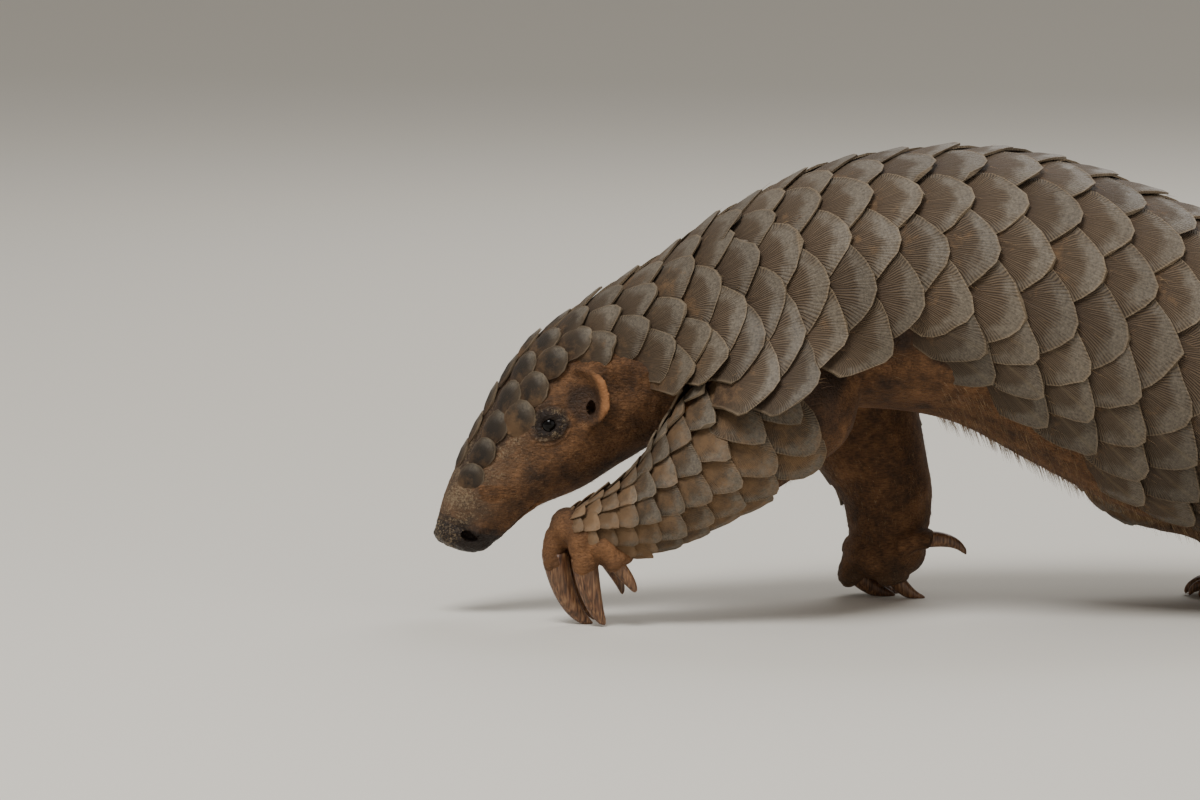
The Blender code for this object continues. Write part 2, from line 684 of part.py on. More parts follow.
def half_width_of(form, along, angle):
    """Half the width of a trunk scale, from the rows on each side of it."""
    others = []
    for _, points, both in SCALE_ROWS:
        if points[0][0] - ROW_REACH <= along <= points[-1][0] + ROW_REACH:
            turn = math.radians(between(points, along))
            others += [turn, -turn] if both else [turn]
    gaps = sorted(abs(math.remainder(turn - angle, 2 * math.pi)) for turn in others)
    near = [gap for gap in gaps if gap > LEAST_GAP][:2]
    return form.girth_rate(along, angle) * min(sum(near) / len(near), WIDEST_SHARE * near[0])


def scale(form, tree, along, angle, way, pitch, half_width, lift_share, collection):
    """One plate on the skin: its root is sunk in, and its tip stands clear."""
    ahead = Vector(way).normalized()
    aside = Vector((-ahead.y, ahead.x))
    rate = max(form.girth_rate(along, angle), LEAST_GIRTH_RATE)
    _, half, _ = form.section(along)
    depth = min(SCALE_ROOT_DEPTH, 0.5 * half.length)
    top, bottom = [], []
    for forward, sideways, lift in SCALE_OUTLINE:
        move = -ahead * forward * pitch + aside * sideways * half_width
        spot, out = form.point(max(along + move.x, 0.0), angle + move.y / rate)
        if tree is not None:
            spot = drape(tree, spot, out)
        rise = lift * lift_share
        if out.z < 0:
            rise = min(rise, (spot.z - FLOOR_CLEARANCE) / -out.z)
        top.append(spot + out * rise)
        bottom.append(spot - out * depth)

    def make(made):
        upper = [made.verts.new(spot) for spot in top]
        lower = [made.verts.new(spot) for spot in bottom]
        corners = len(upper)
        for loop in (upper, lower):
            for i in range(1, corners - 1):
                made.faces.new((loop[0], loop[i], loop[i + 1]))
        for i in range(corners):
            k = (i + 1) % corners
            made.faces.new((upper[i], upper[k], lower[k], lower[i]))

    object_from(make, "scale", collection)


def trunk_scales(form, tree, collection):
    """Rows of overlapping scales from the snout to the tail tip."""
    for lag, points, both in SCALE_ROWS:
        for along in scale_places(lag, points[0][0], points[-1][0]):
            turn = math.radians(between(points, along))
            for side in (1, -1) if both else (1,):
                spread = random.uniform(1 - SCALE_VARIATION, 1 + SCALE_VARIATION)
                angle = side * turn + random.uniform(-SCALE_SWAY, SCALE_SWAY)
                fade = between(((SCALE_TURN_END[0], 1.0), (SCALE_TURN_END[1], 0.0)), along)
                lean = side * fade * math.radians(between(SCALE_TURN, math.degrees(turn)))
                way = (math.cos(lean), math.sin(lean))
                pitch = between(SCALE_PITCH, along) * spread
                half_width = half_width_of(form, along, side * turn) * spread
                lift = min(1.0, pitch / SMALL_SCALE_PITCH)
                scale(form, tree, along, angle, way, pitch, half_width, lift, collection)


def limb_scales(form, side, plan, collection):
    """Scales on the outer side of a limb, set in rows along the way they point."""
    pitch, half_width, ways, (first, last), (start, end) = plan
    course = math.radians(between(ways, (first + last) / 2))
    ahead = Vector((math.cos(course), math.sin(course)))
    aside = Vector((-ahead.y, ahead.x))
    middle = Vector(((first + last) / 2, 0.0))
    for row in range(-LIMB_ROW_REACH, LIMB_ROW_REACH + 1):
        for step in range(-LIMB_ROW_REACH, LIMB_ROW_REACH + 1):
            spot = middle + ahead * pitch * (step + 0.5 * (row % 2)) + aside * half_width * row
            if not first <= spot.x <= last:
                continue
            _, half, width = form.section(spot.x)
            radius = (half.length + width) / 2
            turn = spot.y / radius + math.radians((start + end) / 2)
            if not math.radians(start) <= turn <= math.radians(end):
                continue
            spread = random.uniform(1 - SCALE_VARIATION, 1 + SCALE_VARIATION)
            taper = between(((first, 1.0), (last, LIMB_TAPER)), spot.x)
            lean = side * math.radians(between(ways, spot.x))
            way = (math.cos(lean), math.sin(lean))
            scale(form, None, spot.x, side * turn, way, pitch * spread * taper,
                  half_width * spread * taper, SMALL_SCALE_LIFT, collection)


def part_off(whole, region, name, collection):
    """A copy of what of the whole lies in the region."""
    piece = copy_of(whole, name, collection)
    combine(piece, region, "INTERSECT")
    return piece


def cut_line(cut, reach_up=0.26, reach_down=-0.03):
    """The two ends of a trunk cut, drawn out above and below the body."""
    x1, z1, x2, z2 = cut
    lean = (x1 - x2) / (z1 - z2)
    return (x1 + lean * (reach_up - z1), reach_up), (x2 + lean * (reach_down - z2), reach_down)


def main():
    clear_scene()
    random.seed(SEED)
    model = new_collection("pangolin")
    helpers = new_collection("helpers")
    joined = new_collection("joined")

    finishes = {
        "scales": ("scales", SCALE_COLOUR, 0.55),
        "skin": ("skin", SKIN_COLOUR, 0.7),
        "claw": ("claw", CLAW_COLOUR, 0.4),
        "eye": ("eye", EYE_COLOUR, 0.08),
        "ear": ("ear", EAR_COLOUR, 0.65),
    }

    def place(obj, name, finish):
        label, colour, roughness = finishes[finish]
        finish_node(obj, name, finish_material(f"{name}_{label}", colour, roughness), model)

    trunk = Form(TRUNK)
    limbs = {
        "foreleg_left": Form(FORELEG_LEFT),
        "foreleg_right": Form(FORELEG_RIGHT),
        "hindleg_left": Form(HINDLEG_LEFT),
        "hindleg_right": Form(HINDLEG_RIGHT),
    }
    digits = {
        "forefoot_left": FOREFOOT_LEFT_DIGITS,
        "forefoot_right": FOREFOOT_RIGHT_DIGITS,
        "hindfoot_left": hind_digits(HEEL_LEFT, -1),
        "hindfoot_right": hind_digits(HEEL_RIGHT, 1),
    }

    outline = trunk.solid("outline", TRUNK_SIDES, TRUNK_RING_STEPS, helpers)
    for name, limb in limbs.items():
        limb.solid(name, LIMB_SIDES, LIMB_RING_STEPS, joined)
    join_collection(outline, joined)
    tree = tree_of(outline)

    tail_tip = (trunk.length - 0.05, -CORE_DEPTH), (trunk.length, -TIP_CORE_DEPTH)
    sunk = ((CORE_START, 0.0), (CORE_FULL, -CORE_DEPTH), *tail_tip)
    whole = trunk.solid("whole", TRUNK_SIDES, TRUNK_RING_STEPS, helpers, grow=sunk)
    for name, limb in limbs.items():
        slim = ((0.0, -LIMB_CORE_DEPTH), (limb.length * 0.85, -LIMB_CORE_DEPTH), (limb.length, 0.0))
        limb.solid(name, LIMB_SIDES, LIMB_RING_STEPS, joined, grow=slim)
    ball("palm_left", *PALM_LEFT, 9, 6, joined, Matrix.Rotation(math.radians(18), 3, "Y"))
    ball("palm_right", *PALM_RIGHT, 9, 6, joined)
    sole(HEEL_LEFT, joined)
    sole(HEEL_RIGHT, joined)
    for rows in digits.values():
        for row in rows:
            flesh_of_digit(row, joined)
    join_collection(whole, joined)
    head_pieces(trunk, tree, joined)
    trunk_scales(trunk, tree, joined)
    for name, plan in LIMB_SCALES.items():
        limb_scales(limbs[name], 1 if name.endswith("left") else -1, plan, joined)
    join_collection(whole, joined)
    floor = box("floor", (-0.5, -0.3, -0.1), (0.5, 0.3, 0.0), helpers)
    combine(whole, floor, "DIFFERENCE")

    feet = {
        "forefoot_left": ("foreleg_left", FOREFOOT_LEFT_BOX, FOREFOOT_LEFT_OUTLINE),
        "forefoot_right": ("foreleg_right", FOREFOOT_RIGHT_BOX, FOREFOOT_RIGHT_OUTLINE),
        "hindfoot_left": ("hindleg_left", HINDFOOT_LEFT_BOX, HINDFOOT_OUTLINE),
        "hindfoot_right": ("hindleg_right", HINDFOOT_RIGHT_BOX, HINDFOOT_OUTLINE),
    }
    for foot_name, (leg_name, corners, outline) in feet.items():
        limb = limbs[leg_name]
        start = limb.length * LEG_START[leg_name]
        margin, wide_margin = ((0.0, LIMB_MARGIN),), ((0.0, LIMB_MARGIN + GAP),)
        region = limb.solid("region", LIMB_SIDES, LIMB_RING_STEPS, helpers, start, margin)
        wider = limb.solid("wider", LIMB_SIDES, LIMB_RING_STEPS, helpers, start - GAP, wide_margin)
        combine(region, box("room", *corners, helpers), "UNION")
        combine(wider, box("room", *corners, helpers, GAP), "UNION")
        leg = part_off(whole, region, leg_name, helpers)
        combine(whole, wider, "DIFFERENCE")
        foot = part_off(leg, prism("foot_side", outline, helpers, (-GAP, -GAP)), foot_name, helpers)
        combine(leg, prism("foot_side", outline, helpers), "DIFFERENCE")
        for row in digits[foot_name]:
            combine(foot, claw_of_digit(row, helpers, GAP), "DIFFERENCE")
            claw = claw_of_digit(row, helpers)
            combine(claw, floor, "DIFFERENCE")
            place(claw, f"claw_{foot_name}_{row[0]}", "claw")
        place(leg, leg_name, "scales")
        place(foot, foot_name, "skin")

    front = (-0.5, 0.26), (-0.5, -0.03)
    cuts = (("head", HEAD_CUT), ("neck", NECK_CUT), ("chest", CHEST_CUT), ("torso", TORSO_CUT),
            ("tail_root", TAIL_ROOT_CUT), ("tail_middle", TAIL_MIDDLE_CUT))
    parts = {}
    for name, cut in cuts:
        high, low = cut_line(cut)
        outline = (front[0], high, low, front[1])
        parts[name] = part_off(whole, prism("side", outline, helpers, (-GAP, 0)), name, helpers)
        combine(whole, prism("side", outline, helpers), "DIFFERENCE")
    parts["tail_end"] = whole

    head = parts["head"]
    for side, label in ((-1, "left"), (1, "right")):
        centre, out = eye_place(tree, side)
        combine(head, ball("socket", centre, (EYE_RADIUS + GAP,) * 3, *EYE_SIDES, helpers), "DIFFERENCE")
        place(ball("eye", centre, (EYE_RADIUS,) * 3, *EYE_SIDES, helpers), f"eye_{label}", "eye")
        combine(head, ear("pocket", tree, side, helpers, GAP), "DIFFERENCE")
        place(ear("ear", tree, side, helpers), f"ear_{label}", "ear")
        hole, _ = side_spot(tree, EAR_X + EAR_HOLE_SHIFT[0], EAR_Z + EAR_HOLE_SHIFT[1], side)
        combine(head, ball("ear_hole", hole, EAR_HOLE, *HOLLOW_SIDES, helpers), "DIFFERENCE")
        nose = trunk.point(NOSTRIL_PLACE[0], math.radians(-side * NOSTRIL_PLACE[1]))[0]
        combine(head, ball("nostril", nose, NOSTRIL, *HOLLOW_SIDES, helpers), "DIFFERENCE")
    line = mouth_line(trunk, 0.0, MOUTH_DEPTH)
    combine(head, bent_tube("slit", line, [MOUTH_WIDTH] * len(line), helpers), "DIFFERENCE")
    for name, obj in parts.items():
        place(obj, name, "scales")

    for obj in list(helpers.objects):
        bpy.data.objects.remove(obj)
    bpy.data.collections.remove(helpers)
    bpy.data.collections.remove(joined)


main()
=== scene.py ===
import math
import random

import bpy
import numpy as np
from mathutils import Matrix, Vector, noise
from mathutils.bvhtree import BVHTree


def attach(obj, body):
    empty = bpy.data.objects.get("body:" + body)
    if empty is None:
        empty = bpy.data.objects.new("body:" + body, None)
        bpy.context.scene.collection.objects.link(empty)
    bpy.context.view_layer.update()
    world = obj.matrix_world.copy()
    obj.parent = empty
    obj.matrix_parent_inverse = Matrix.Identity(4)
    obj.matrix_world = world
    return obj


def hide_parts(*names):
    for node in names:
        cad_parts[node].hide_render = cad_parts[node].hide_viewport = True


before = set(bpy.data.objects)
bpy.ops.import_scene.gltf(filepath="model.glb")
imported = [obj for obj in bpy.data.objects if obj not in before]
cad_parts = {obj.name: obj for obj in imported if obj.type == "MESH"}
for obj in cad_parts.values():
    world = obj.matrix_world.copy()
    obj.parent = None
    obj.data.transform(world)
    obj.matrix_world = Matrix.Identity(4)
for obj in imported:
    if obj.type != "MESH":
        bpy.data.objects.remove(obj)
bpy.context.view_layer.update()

random.seed(5)

# Flesh. Under its scales a pangolin is one bare, leathery body. It is rolled up through the
# same sections as the solids, fused into one skin by a fine remesh, then worked like wet
# clay: sockets, nostrils, mouth and ear holes are cut, and folds and knuckles are pushed in.

# Each row: upper or front edge x, z, lower or back edge x, z, middle y, half width.
TRUNK = (
    (-0.347, 0.036, -0.323, 0.029, -0.0150, 0.0090),
    (-0.341, 0.057, -0.306, 0.045, -0.0130, 0.0150),
    (-0.328, 0.084, -0.281, 0.056, -0.0100, 0.0215),
    (-0.309, 0.115, -0.260, 0.069, -0.0070, 0.0280),
    (-0.282, 0.136, -0.242, 0.078, -0.0040, 0.0330),
    (-0.249, 0.155, -0.224, 0.081, -0.0010, 0.0420),
    (-0.215, 0.178, -0.198, 0.084, 0.0000, 0.0515),
    (-0.172, 0.197, -0.165, 0.090, 0.0000, 0.0590),
    (-0.120, 0.204, -0.122, 0.085, 0.0000, 0.0645),
    (-0.075, 0.200, -0.082, 0.065, 0.0000, 0.0670),
    (-0.031, 0.185, -0.040, 0.044, 0.0000, 0.0670),
    (0.012, 0.165, 0.004, 0.033, 0.0000, 0.0640),
    (0.056, 0.132, 0.051, 0.029, 0.0010, 0.0575),
    (0.104, 0.093, 0.101, 0.019, 0.0030, 0.0520),
    (0.159, 0.058, 0.158, 0.0065, 0.0080, 0.0460),
    (0.222, 0.031, 0.222, 0.0040, 0.0170, 0.0380),
    (0.287, 0.018, 0.287, 0.0035, 0.0300, 0.0260),
    (0.336, 0.011, 0.336, 0.0030, 0.0415, 0.0115),
    (0.345, 0.008, 0.345, 0.0035, 0.0440, 0.0050),
)
FORELEG_LEFT = (
    (-0.212, 0.148, -0.156, 0.122, -0.026, 0.0200),
    (-0.224, 0.121, -0.163, 0.082, -0.041, 0.0275),
    (-0.233, 0.106, -0.187, 0.063, -0.045, 0.0265),
    (-0.245, 0.089, -0.211, 0.049, -0.047, 0.0240),
    (-0.256, 0.073, -0.235, 0.037, -0.049, 0.0205),
    (-0.267, 0.062, -0.253, 0.031, -0.050, 0.0175),
    (-0.280, 0.054, -0.270, 0.028, -0.050, 0.0150),
    (-0.288, 0.049, -0.280, 0.028, -0.050, 0.0130),
)
FORELEG_RIGHT = (
    (-0.194, 0.122, -0.136, 0.126, 0.028, 0.0200),
    (-0.191, 0.086, -0.131, 0.090, 0.046, 0.0255),
    (-0.182, 0.063, -0.127, 0.067, 0.048, 0.0245),
    (-0.169, 0.046, -0.124, 0.048, 0.049, 0.0215),
    (-0.165, 0.033, -0.125, 0.033, 0.049, 0.0195),
    (-0.164, 0.020, -0.129, 0.020, 0.049, 0.0180),
)
HINDLEG_LEFT = (
    (0.004, 0.122, 0.066, 0.110, -0.030, 0.0200),
    (-0.004, 0.088, 0.078, 0.080, -0.047, 0.0270),
    (0.004, 0.060, 0.078, 0.058, -0.051, 0.0265),
    (0.018, 0.040, 0.078, 0.040, -0.052, 0.0225),
    (0.034, 0.026, 0.080, 0.026, -0.052, 0.0185),
    (0.042, 0.012, 0.080, 0.012, -0.052, 0.0160),
)
HINDLEG_RIGHT = (
    (-0.040, 0.118, 0.030, 0.112, 0.030, 0.0200),
    (-0.064, 0.076, 0.018, 0.080, 0.047, 0.0270),
    (-0.060, 0.050, 0.016, 0.060, 0.051, 0.0265),
    (-0.040, 0.033, 0.022, 0.044, 0.052, 0.0225),
    (-0.010, 0.025, 0.032, 0.030, 0.052, 0.0185),
    (0.000, 0.012, 0.036, 0.014, 0.052, 0.0160),
)
# How full a section is, where 1 is an ellipse, and the steps from row to row along a form.
BOXINESS = 0.92
ROW_STEPS = 20


def fuller(share):
    """A sine or cosine bent so that a section is a little fuller than an ellipse."""
    return np.sign(share) * np.abs(share) ** BOXINESS


def between(points, value):
    """The value on straight lines between a few points."""
    return np.interp(value, [x for x, _ in points], [y for _, y in points])


def smooth_step(start, end, value):
    """From 0 at the start to 1 at the end, without a corner at either."""
    share = np.clip((value - start) / (end - start), 0.0, 1.0)
    return share * share * (3 - 2 * share)


def bell(value, middle, width):
    """One at the middle, falling off smoothly to both sides."""
    return np.exp(-(((value - middle) / width) ** 2))


def unit(ways):
    """The same ways, each one metre long."""
    return ways / np.linalg.norm(ways, axis=-1, keepdims=True)


def turns_of(sides):
    """The angles of so many points spread evenly round a ring."""
    return np.arange(sides) * 2 * math.pi / sides


class Form:
    """The trunk or a limb, with a length along it and an angle round it from its upper or front edge.

    An angle of 90 degrees is the side at -Y.
    """

    def __init__(self, rows):
        self.rows = np.array(rows)
        self.places = np.linspace(0, len(rows) - 1, ROW_STEPS * (len(rows) - 1) + 1)
        middles = self.sections(self.places)[0]
        steps = np.linalg.norm(np.diff(middles, axis=0), axis=1)
        self.lengths = np.concatenate(([0.0], np.cumsum(steps)))
        self.length = self.lengths[-1]

    def sections(self, place):
        """Middle, half height and half width at places, on a smooth curve through the rows."""
        last = len(self.rows) - 1
        start = np.clip(place.astype(int), 0, last - 1)
        share = (place - start)[:, None]
        before, here, after, beyond = (self.rows[np.clip(start + k, 0, last)] for k in (-1, 0, 1, 2))
        row = 0.5 * (
            2 * here
            + (after - before) * share
            + (2 * before - 5 * here + 4 * after - beyond) * share**2
            + (3 * here - before - 3 * after + beyond) * share**3
        )
        x1, z1, x2, z2, y, width = row.T
        middle = np.stack([(x1 + x2) / 2, y, (z1 + z2) / 2], axis=1)
        half = np.stack([(x1 - x2) / 2, 0 * y, (z1 - z2) / 2], axis=1)
        return middle, half, width

    def at(self, along, angle, lift=0.0):
        """Points of the surface raised by lift, and the way straight out of it at each."""
        middle, half, width = self.sections(np.interp(along, self.lengths, self.places))
        up, side = np.cos(angle), np.sin(angle)
        spots = middle + half * fuller(up)[:, None]
        spots[:, 1] -= width * fuller(side)
        outs = half * (up / (half**2).sum(axis=1))[:, None]
        outs[:, 1] -= side / width
        outs = unit(outs)
        return spots + outs * np.reshape(lift, (-1, 1)), outs

    def rate(self, along, angle):
        """Metres round the section for one radian at this angle."""
        _, half, width = self.sections(np.interp(along, self.lengths, self.places))
        return np.hypot(np.linalg.norm(half, axis=1) * np.sin(angle), width * np.cos(angle))

    def rings(self, sides, step, lift):
        """Rings of points down the whole form, raised by what lift says at each length and angle."""
        stops = np.linspace(0, self.length, max(2, round(self.length / step)) + 1)
        along, angle = (part.ravel() for part in np.meshgrid(stops, turns_of(sides), indexing="ij"))
        return self.at(along, angle, lift(along, angle))[0].reshape(len(stops), sides, 3)


forms = {
    "trunk": Form(TRUNK),
    "foreleg_left": Form(FORELEG_LEFT),
    "foreleg_right": Form(FORELEG_RIGHT),
    "hindleg_left": Form(HINDLEG_LEFT),
    "hindleg_right": Form(HINDLEG_RIGHT),
}
trunk = forms["trunk"]

# The lowest scaled angle at lengths down the trunk, and how deep the flesh lies under scales.
SCALED_TO = (
    (0.028, 0), (0.034, 58), (0.060, 66), (0.100, 60), (0.113, 76), (0.128, 98), (0.165, 118), (0.200, 136),
    (0.222, 124), (0.240, 116), (0.255, 108), (0.275, 124), (0.300, 130), (0.345, 150), (0.430, 164),
    (0.490, 200),
)
SKIN_DEPTH = ((0.05, 0.0010), (0.11, 0.0030), (0.69, 0.0030), (0.749, 0.0012))
LIMB_DEPTH = 0.0018
# The skin rises to its full height between these degrees past the scales, and on a limb between
# these lengths down it.
TRUNK_EDGE = (-14, 2)
LIMB_EDGE = (0.16, 0.13)


def trunk_lift(along, angle):
    """The bare face and belly lie on the outline, and the scaled back lies under it."""
    turn = np.degrees(np.abs((angle + math.pi) % (2 * math.pi) - math.pi))
    return -smooth_step(*TRUNK_EDGE, between(SCALED_TO, along) - turn) * between(SKIN_DEPTH, along)


def limb_lift(along, angle):
    """A limb's skin lies under its scales, and on the outline at the foot."""
    return -LIMB_DEPTH * smooth_step(*LIMB_EDGE, along)


WELD = 1e-5


def deselect():
    bpy.ops.object.select_all(action="DESELECT")


def select(pieces):
    """Select pieces, the first of them active."""
    deselect()
    for piece in pieces:
        piece.select_set(True)
    bpy.context.view_layer.objects.active = pieces[0]


def spots_of(piece):
    """The places of a piece's vertices, one row each."""
    spots = np.empty(len(piece.data.vertices) * 3)
    piece.data.vertices.foreach_get("co", spots)
    return spots.reshape(-1, 3)


def put_spots(piece, spots):
    """Move a piece's vertices to these places, none of them under the floor."""
    spots = spots.reshape(-1, 3)
    spots[:, 2] = np.maximum(spots[:, 2], 0.0)
    piece.data.vertices.foreach_set("co", spots.ravel())


def rolled(name, rings, capped=True):
    """A closed solid through rings of points: a grid rolled up, welded along its seam and capped.

    Without caps the last ring is the first one again, and the solid closes on itself like a tyre.
    """
    rings = np.asarray(rings)
    count, sides = rings.shape[:2]
    deselect()
    bpy.ops.mesh.primitive_grid_add(x_subdivisions=sides, y_subdivisions=count - 1)
    piece = bpy.context.object
    piece.name = name
    spots = np.concatenate([rings, rings[:, :1]], axis=1)
    piece.data.vertices.foreach_set("co", spots.ravel())
    bpy.ops.object.mode_set(mode="EDIT")
    bpy.ops.mesh.select_all(action="SELECT")
    bpy.ops.mesh.remove_doubles(threshold=WELD)
    if capped:
        bpy.ops.mesh.fill_holes(sides=0)
    bpy.ops.mesh.normals_make_consistent(inside=False)
    bpy.ops.object.mode_set(mode="OBJECT")
    return piece


def rings_round(centres, up, aside, heights, widths, sides):
    """Rings round a line of points, with a radius each of two ways at every point."""
    turns = turns_of(sides)
    swing = up[:, None] * np.outer(heights, np.cos(turns))[:, :, None]
    sway = aside[:, None] * np.outer(widths, np.sin(turns))[:, :, None]
    return centres[:, None] + swing + sway


def tube_rings(centres, heights, widths, sides):
    """Rings round a line bent in an upright plane, with an upright and a sideways radius."""
    centres = np.array(centres, float)
    ahead = unit(np.gradient(centres, axis=0))
    sideways = np.array((0.0, 1.0, 0.0))
    across = unit(sideways - ahead * (ahead @ sideways)[:, None])
    return rings_round(centres, np.cross(across, ahead), across, heights, widths, sides)


def curve_through(points, count):
    """Points on a smooth bend through a start, a middle and an end."""
    start, middle, end = (np.array(point, float) for point in points)
    bend = middle * 2 - (start + end) / 2
    share = np.linspace(0, 1, count)[:, None]
    return start * (1 - share) ** 2 + bend * 2 * share * (1 - share) + end * share**2


def ball(name, centre, radii, tipped=0, segments=32, rings=20):
    """An oval ball, tipped by some degrees about the sideways axis."""
    deselect()
    bpy.ops.mesh.primitive_uv_sphere_add(segments=segments, ring_count=rings, radius=1.0, location=centre,
                                         rotation=(0.0, math.radians(tipped), 0.0), scale=radii)
    piece = bpy.context.object
    piece.name = name
    bpy.ops.object.transform_apply(location=True, rotation=True, scale=True)
    return piece


# Each digit: name, y, flesh line in x and z, flesh radius, claw line in x and z, claw radius.
FOREFOOT_LEFT_DIGITS = (
    ("first", -0.0370, ((-0.280, 0.037), (-0.273, 0.030), (-0.270, 0.024)), 0.0048,
     ((-0.2710, 0.0260), (-0.2660, 0.0185), (-0.2640, 0.0115)), 0.0021),
    ("second", -0.0430, ((-0.285, 0.043), (-0.2875, 0.032), (-0.2840, 0.0215)), 0.0054,
     ((-0.2852, 0.0260), (-0.2812, 0.0105), (-0.2745, 0.0012)), 0.0029),
    ("third", -0.0500, ((-0.2885, 0.045), (-0.2940, 0.033), (-0.2905, 0.0205)), 0.0058,
     ((-0.2920, 0.0255), (-0.2868, 0.0095), (-0.2770, 0.0004)), 0.0036),
    ("fourth", -0.0590, ((-0.2810, 0.042), (-0.2812, 0.032), (-0.2780, 0.0215)), 0.0066,
     ((-0.2795, 0.0265), (-0.2768, 0.0115), (-0.2715, 0.0010)), 0.0036),
    ("fifth", -0.0625, ((-0.2745, 0.0375), (-0.2690, 0.0310), (-0.2650, 0.0265)), 0.0058,
     ((-0.2670, 0.0275), (-0.2610, 0.0205), (-0.2585, 0.0155)), 0.0022),
)
FOREFOOT_RIGHT_DIGITS = (
    ("first", 0.0330, ((-0.142, 0.024), (-0.132, 0.0270), (-0.1255, 0.0268)), 0.0052,
     ((-0.1285, 0.0270), (-0.1180, 0.0262), (-0.1110, 0.0205)), 0.0024),
    ("second", 0.0395, ((-0.146, 0.020), (-0.1440, 0.013), (-0.1430, 0.0080)), 0.0082,
     ((-0.1440, 0.0062), (-0.1365, 0.0030), (-0.1290, 0.0004)), 0.0025),
    ("third", 0.0480, ((-0.154, 0.020), (-0.1600, 0.013), (-0.1590, 0.0080)), 0.0084,
     ((-0.1600, 0.0064), (-0.1510, 0.0034), (-0.1420, 0.0004)), 0.0031),
    ("fourth", 0.0565, ((-0.151, 0.020), (-0.1560, 0.013), (-0.1550, 0.0076)), 0.0078,
     ((-0.1560, 0.0060), (-0.1480, 0.0030), (-0.1400, 0.0004)), 0.0025),
    ("fifth", 0.0630, ((-0.146, 0.020), (-0.1480, 0.013), (-0.1460, 0.0066)), 0.0066,
     ((-0.1470, 0.0054), (-0.1405, 0.0028), (-0.1350, 0.0004)), 0.0019),
)
HEELS = {"left": (0.081, -0.052, -1), "right": (0.038, 0.052, 1)}
HIND_DIGITS = (
    ("first", -0.0125, 0.0385), ("second", -0.0065, 0.0425), ("third", 0.0, 0.0440),
    ("fourth", 0.0065, 0.0425), ("fifth", 0.0125, 0.0385),
)
# The sole of a hind foot from its heel: distance ahead, height, upright and sideways radius.
SOLE = (
    (0.0, 0.0085, 0.0050, 0.0070), (0.004, 0.0085, 0.0093, 0.0125), (0.018, 0.0085, 0.0098, 0.0150),
    (0.032, 0.0080, 0.0092, 0.0170), (0.039, 0.0065, 0.0065, 0.0140),
)


def hind_digits(heel):
    """The rows of a hind foot's digits, written the way the forefoot's are."""
    rows = []
    for name, aside, ahead in HIND_DIGITS:
        x, y = heel[0] - ahead, heel[1] + heel[2] * aside
        flesh = ((x + 0.014, 0.0075), (x + 0.006, 0.0065), (x + 0.001, 0.0050))
        claw = ((x + 0.003, 0.0056), (x - 0.003, 0.0044), (x - 0.006, 0.0006))
        rows.append((name, y, flesh, 0.0040, claw, 0.0019))
    return rows


digits = {
    "forefoot_left": FOREFOOT_LEFT_DIGITS,
    "forefoot_right": FOREFOOT_RIGHT_DIGITS,
    "hindfoot_left": hind_digits(HEELS["left"]),
    "hindfoot_right": hind_digits(HEELS["right"]),
}

# Lumps that the sections leave out: name, centre, radii and degrees tipped.
LUMPS = (
    ("nose", (-0.3350, -0.0146, 0.0330), (0.0125, 0.0094, 0.0046), 16),
    ("palm", (-0.2840, -0.0500, 0.0420), (0.0120, 0.0128, 0.0088), 18),
    ("heel_of_hand", (-0.2690, -0.0530, 0.0335), (0.0110, 0.0115, 0.0062), 25),
    ("palm", (-0.1470, 0.0490, 0.0200), (0.0190, 0.0185, 0.0130), 0),
)
RING_STEP = 0.004
TRUNK_SIDES, LIMB_SIDES, SOLE_SIDES, TOE_SIDES = 80, 40, 24, 20
flesh = [rolled("skin", trunk.rings(TRUNK_SIDES, RING_STEP, trunk_lift))]
for name, form in forms.items():
    if name != "trunk":
        flesh.append(rolled(name, form.rings(LIMB_SIDES, RING_STEP, limb_lift)))
for name, centre, radii, tipped in LUMPS:
    flesh.append(ball(name, centre, radii, tipped))
for heel in HEELS.values():
    line = [(heel[0] - ahead, heel[1], z) for ahead, z, _, _ in SOLE]
    rings = tube_rings(line, [row[2] for row in SOLE], [row[3] for row in SOLE], SOLE_SIDES)
    flesh.append(rolled("sole", rings))
# A toe swells at its knuckle and at its tip, and narrows between them. It is drawn back by a
# share of its last length, and its rounded end reaches past that by a share of its radius.
KNUCKLES = ((0.0, 1.0), (0.3, 1.05), (0.55, 0.95), (0.8, 1.06), (0.93, 0.82), (1.0, 0.45))
TOE_POINTS = 14
TOE_STOUT = 0.88
TOE_BACK = 0.4
TOE_PAST = 0.5
for rows in digits.values():
    for _, y, line, radius, _, _ in rows:
        ends = [np.array((x, y, z)) for x, z in line]
        ends[2] = ends[2] * (1 - TOE_BACK) + ends[1] * TOE_BACK
        ends[2] = ends[2] + unit(ends[2] - ends[1]) * radius * TOE_PAST
        centres = curve_through(ends, TOE_POINTS)
        radii = TOE_STOUT * radius * between(KNUCKLES, np.linspace(0, 1, TOE_POINTS))
        flesh.append(rolled("toe", tube_rings(centres, radii, radii, TOE_SIDES)))

OUTLINE_SIDES = 64


def outline_of(chosen):
    """The bare outline of some forms, to look at from the side."""
    spots, faces = [], []
    for form in chosen:
        rings = form.rings(OUTLINE_SIDES, RING_STEP, lambda along, angle: 0.0)
        count, sides = rings.shape[:2]
        first = len(spots)
        for row in range(count - 1):
            for i in range(sides):
                near, far = first + row * sides, first + (row + 1) * sides
                k = (i + 1) % sides
                faces.append((near + i, near + k, far + k, far + i))
        spots += [Vector(spot) for spot in rings.reshape(-1, 3)]
    return BVHTree.FromPolygons(spots, faces)


outline = outline_of(forms.values())


def side_spot(x, z, side):
    """Point and normal of the head at x and z, on the left for side -1."""
    spot, out, _, _ = outline.ray_cast(Vector((x, side * 0.2, z)), Vector((0, -side, 0)))
    out = out if out.y * side > 0 else -out
    return np.array(spot), np.array(out)


